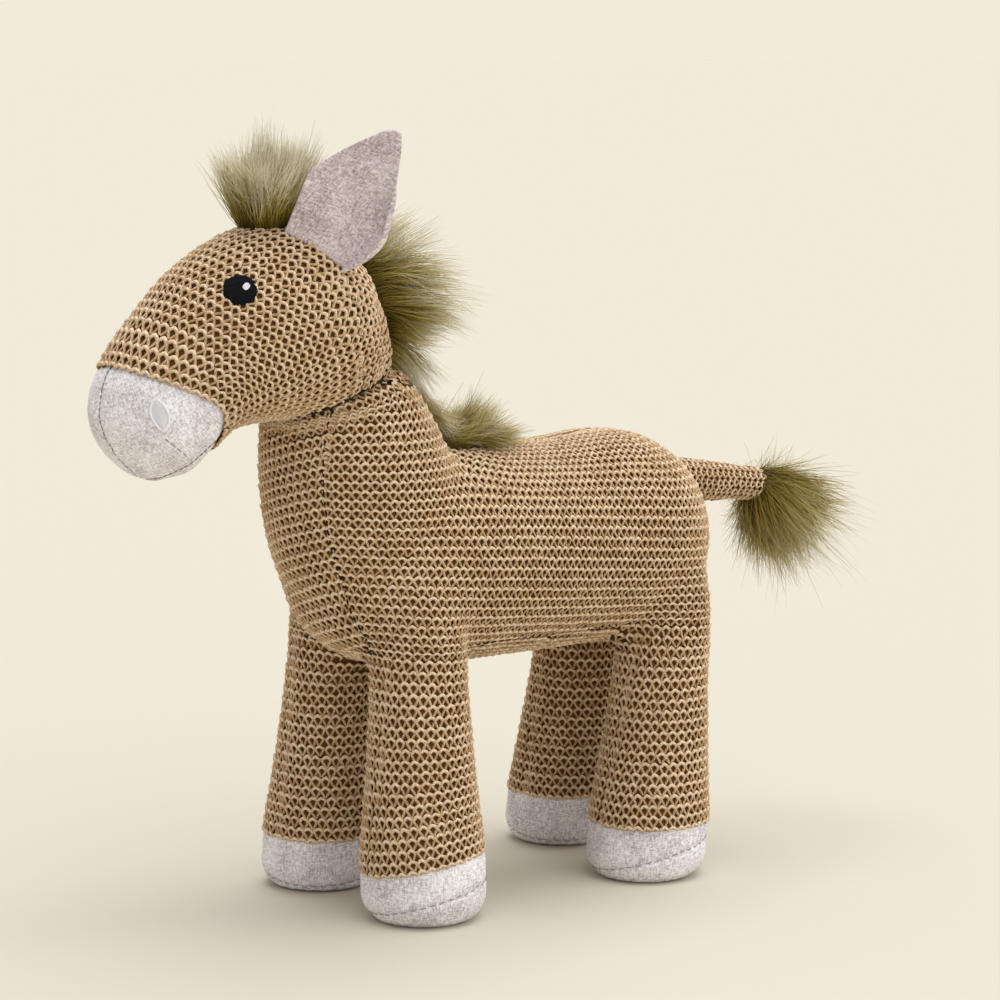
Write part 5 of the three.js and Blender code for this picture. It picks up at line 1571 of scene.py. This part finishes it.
# Strands from their roots: they gather into locks toward the tip, curl a little and taper
def furTuft(name, roots, ways, lengths, spec, body, node):
    count, steps = len(roots), 6
    along = np.linspace(0, 1, steps)[None, :]
    t = along[:, :, None]
    leads = chance.integers(0, count, spec["locks"])  # the hair that leads each lock
    lock = ((roots[:, None] - roots[leads][None]) ** 2).sum(2).argmin(1)
    curl = chance.normal(0, spec["curl"], (spec["locks"], 1, 3))
    turn = chance.uniform(0, 6.3, (spec["locks"], 1, 1))
    own = roots[:, None] + ways[:, None] * lengths[:, None, None] * t + np.array(spec["sag"]) * t ** 2
    lead = own[leads] + curl * np.sin(3.4 * t + turn) * t
    tight = spec["tight"] * chance.uniform(0.35, 1, (count, 1, 1)) * t ** 0.8
    short = (lengths / lengths[leads][lock]).clip(0.6, 1.15)[:, None, None]
    drawn = roots[leads][lock][:, None] + (lead[lock] - roots[leads][lock][:, None]) * short
    drawn = drawn + chance.normal(0, 0.9, (count, 1, 3))
    lines = own * (1 - tight) + drawn * tight + chance.normal(0, spec["stray"], (count, 1, 3)) * t ** 2
    thick = spec["thick"] * (1 - 0.8 * along ** 2) * chance.uniform(0.7, 1.2, (count, 1))
    tone = 0.45 * chance.random((count, 1)) + 0.55 * chance.random(spec["locks"])[lock][:, None]
    fur = strandPiece(name + "_fur", lines, thick, furLook, tone=tone * spec["pale"], along=along * spec["pale"])
    # A few long dark hairs stand out of the tuft
    pick = chance.integers(0, count, spec["guards"])
    g = guardHair
    longer = roots[pick] + ways[pick] * (lengths[pick] * chance.uniform(*g["longer"], len(pick)))[:, None]
    longer = longer + chance.normal(0, g["astray"], longer.shape)
    bend = chance.normal(0, g["bend"], (len(pick), 1, 3)) * t ** 2
    lines = roots[pick][:, None] * (1 - t) + longer[:, None] * t + bend
    guard = strandPiece(name + "_guard_hair", lines, g["thick"] * (1 - 0.7 * along), guardLook, tone=0.5, along=along)
    for obj in (fur, guard):
        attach(obj, body)
    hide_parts(node)


# Points spread evenly in a ball
def ballPoints(count, spread):
    way = chance.normal(0, 1, (count, 3))
    return unit(way) * (chance.random((count, 1)) ** (1 / 3)) * spread


# Where a plumb line meets a surface
def castDown(tree, x, y, top):
    return np.array(tree.ray_cast(Vector((x, y, top)), Vector((0, 0, -1)))[0])


# The forelock stands up from a round root and leans out from its middle
forelock = {"count": 5000, "pale": 1.12, "locks": 28, "tight": 0.94, "curl": 5, "stray": 1.6, "sag": (0.5, 0, -0.5),
            "thick": 0.12, "guards": 14, "ahead": 107.8, "root": 9.8, "length": 34}
radius = np.sqrt(chance.random(forelock["count"])) * forelock["root"]
angle = chance.random(forelock["count"]) * 2 * math.pi
dx, dy = radius * np.cos(angle), radius * np.sin(angle)
roots = np.stack([castDown(headTree, forelock["ahead"] + a, b, 330) for a, b in zip(dx, dy)])
ways = unit(np.stack([0.042 * dx - 0.03, 0.045 * dy, np.ones(len(dx))], 1) + chance.normal(0, hairSway, (len(dx), 3)))
lengths = forelock["length"] * chance.uniform(0.5, 1.1, len(dx)) * (1 - 0.2 * (radius / forelock["root"]) ** 2)
furTuft("forelock", roots, ways, lengths, forelock, "head", "forelock")

# The mane's strip runs down the back of the head; angle, half width, length and tilt of the hair along it
maneUpper = {"count": 6400, "pale": 1.06, "locks": 32, "tight": 0.94, "curl": 6, "stray": 2, "sag": (0, 0, -6),
             "thick": 0.12, "guards": 26}
maneStrip = np.array([(98, 6, 20, 55), (125, 10, 35, 33), (150, 12, 42, 18), (175, 13, 34, 4), (190, 13, 27, -10),
                      (203, 12, 20, -28), (214, 11, 17, -45), (226, 9, 13, -70)], float)
turned = chance.uniform(maneStrip[0, 0], maneStrip[-1, 0], maneUpper["count"])
half, reach, tilt = (np.interp(turned, maneStrip[:, 0], maneStrip[:, k]) for k in (1, 2, 3))
aside = chance.uniform(-1, 1, maneUpper["count"]) * half
roots = []
for a, b in zip(np.radians(turned), aside):
    way = np.array([math.cos(a), 0, math.sin(a)])
    spot = headTree.ray_cast(Vector(headMiddle + (0, b, 0) + way * 90), Vector(-way))[0]
    roots.append(np.array(spot))
roots = np.array(roots)
tilt = np.radians(tilt)
ways = unit(np.stack([-np.cos(tilt), aside * 0.035, np.sin(tilt)], 1) + chance.normal(0, hairSway, roots.shape))
lengths = reach * chance.uniform(0.5, 1.1, len(roots))
furTuft("mane_upper", roots, ways, lengths, maneUpper, "head", "mane_upper")

# The lower mane lies on the withers and runs up the back of the neck
maneLower = {"count": 4600, "pale": 0.95, "neckCount": 1800, "locks": 42, "tight": 0.92, "curl": 4, "stray": 1.6,
             "sag": (0, 0, -4), "thick": 0.12, "guards": 10}
# Half width, tilt and length of the hair by its place along the withers, and by its height up the neck
withers = {"along": (16, 43), "half": ((16, 26, 43), (6, 9, 10)), "tilt": ((16, 26, 36, 43), (30, 44, 40, 10)),
           "length": ((16, 26, 36, 43), (23, 27, 25, 18))}
upNeck = {"up": (176, 197), "half": (-10, 10), "tilt": ((176, 186, 197), (12, -20, -40)),
          "length": ((176, 186, 197), (19, 16, 15)), "back": 66}
x = chance.uniform(*withers["along"], maneLower["count"])
aside = chance.uniform(-1, 1, maneLower["count"]) * np.interp(x, *withers["half"])
roots = np.stack([castDown(bodyTree, a, b, 198) for a, b in zip(x, aside)])
tilt = np.interp(x, *withers["tilt"])
lengths = np.interp(x, *withers["length"])
z = chance.uniform(*upNeck["up"], maneLower["neckCount"])
neckAside = chance.uniform(*upNeck["half"], maneLower["neckCount"])
neckRoots = [bodyTree.ray_cast(Vector((0, b, h)), Vector((1, 0, 0)))[0] for b, h in zip(neckAside, z)]
found = np.array([r is not None and r[0] < upNeck["back"] for r in neckRoots])
roots = np.concatenate([roots, [np.array(r) for r, ok in zip(neckRoots, found) if ok]])
aside = np.concatenate([aside, neckAside[found]])
tilt = np.radians(np.concatenate([tilt, np.interp(z[found], *upNeck["tilt"])]))
lengths = np.concatenate([lengths, np.interp(z[found], *upNeck["length"])])
ways = unit(np.stack([-np.cos(tilt), aside * 0.035, np.sin(tilt)], 1) + chance.normal(0, hairSway, roots.shape))
furTuft("mane_lower", roots, ways, lengths * chance.uniform(0.55, 1.1, len(roots)), maneLower, "body", "mane_lower")

# The tassel fans out from a ball at the tip of the tail
tassel = {"count": 6600, "pale": 0.82, "locks": 50, "tight": 0.88, "curl": 7, "stray": 2.6, "sag": (0, 0, -4),
          "thick": 0.13, "guards": 18, "from": 48, "ball": 5.5, "droop": 30, "spread": 70}
# Length of the hair by its angle over or under the tassel's middle line, and its share of that by its angle aside
tasselLength = {"over": ((-70, -30, 0, 35, 55, 70), (38, 48, 55, 53, 38, 18)), "aside": ((0, 70), (1, 0.6))}
tailTip = tailRoot + tailWay * tassel["from"]
droop, spread = math.radians(tassel["droop"]), math.radians(tassel["spread"])
main = np.array([-math.cos(droop), 0, -math.sin(droop)])
overMain = np.array([-math.sin(droop), 0, math.cos(droop)])
off = spread * np.sqrt(chance.random(tassel["count"]))
angle = chance.random(tassel["count"]) * 2 * math.pi
rise, aside = off * np.sin(angle), off * np.cos(angle)
ways = (np.cos(off)[:, None] * main + np.sin(off)[:, None] * (np.sin(angle)[:, None] * overMain
        + np.cos(angle)[:, None] * np.array([0, 1, 0])))
roots = tailTip + main * 1.5 + ballPoints(tassel["count"], tassel["ball"])
lengths = np.interp(np.degrees(rise), *tasselLength["over"])
lengths = lengths * np.interp(np.abs(np.degrees(aside)), *tasselLength["aside"])
lengths = lengths * chance.uniform(0.45, 1.08, len(roots))
furTuft("tassel", roots, ways, lengths, tassel, "tassel", "tail_tassel")


print("stage: finish")
bpy.data.objects.remove(stitchModel)
bpy.data.objects.remove(edgeModel)
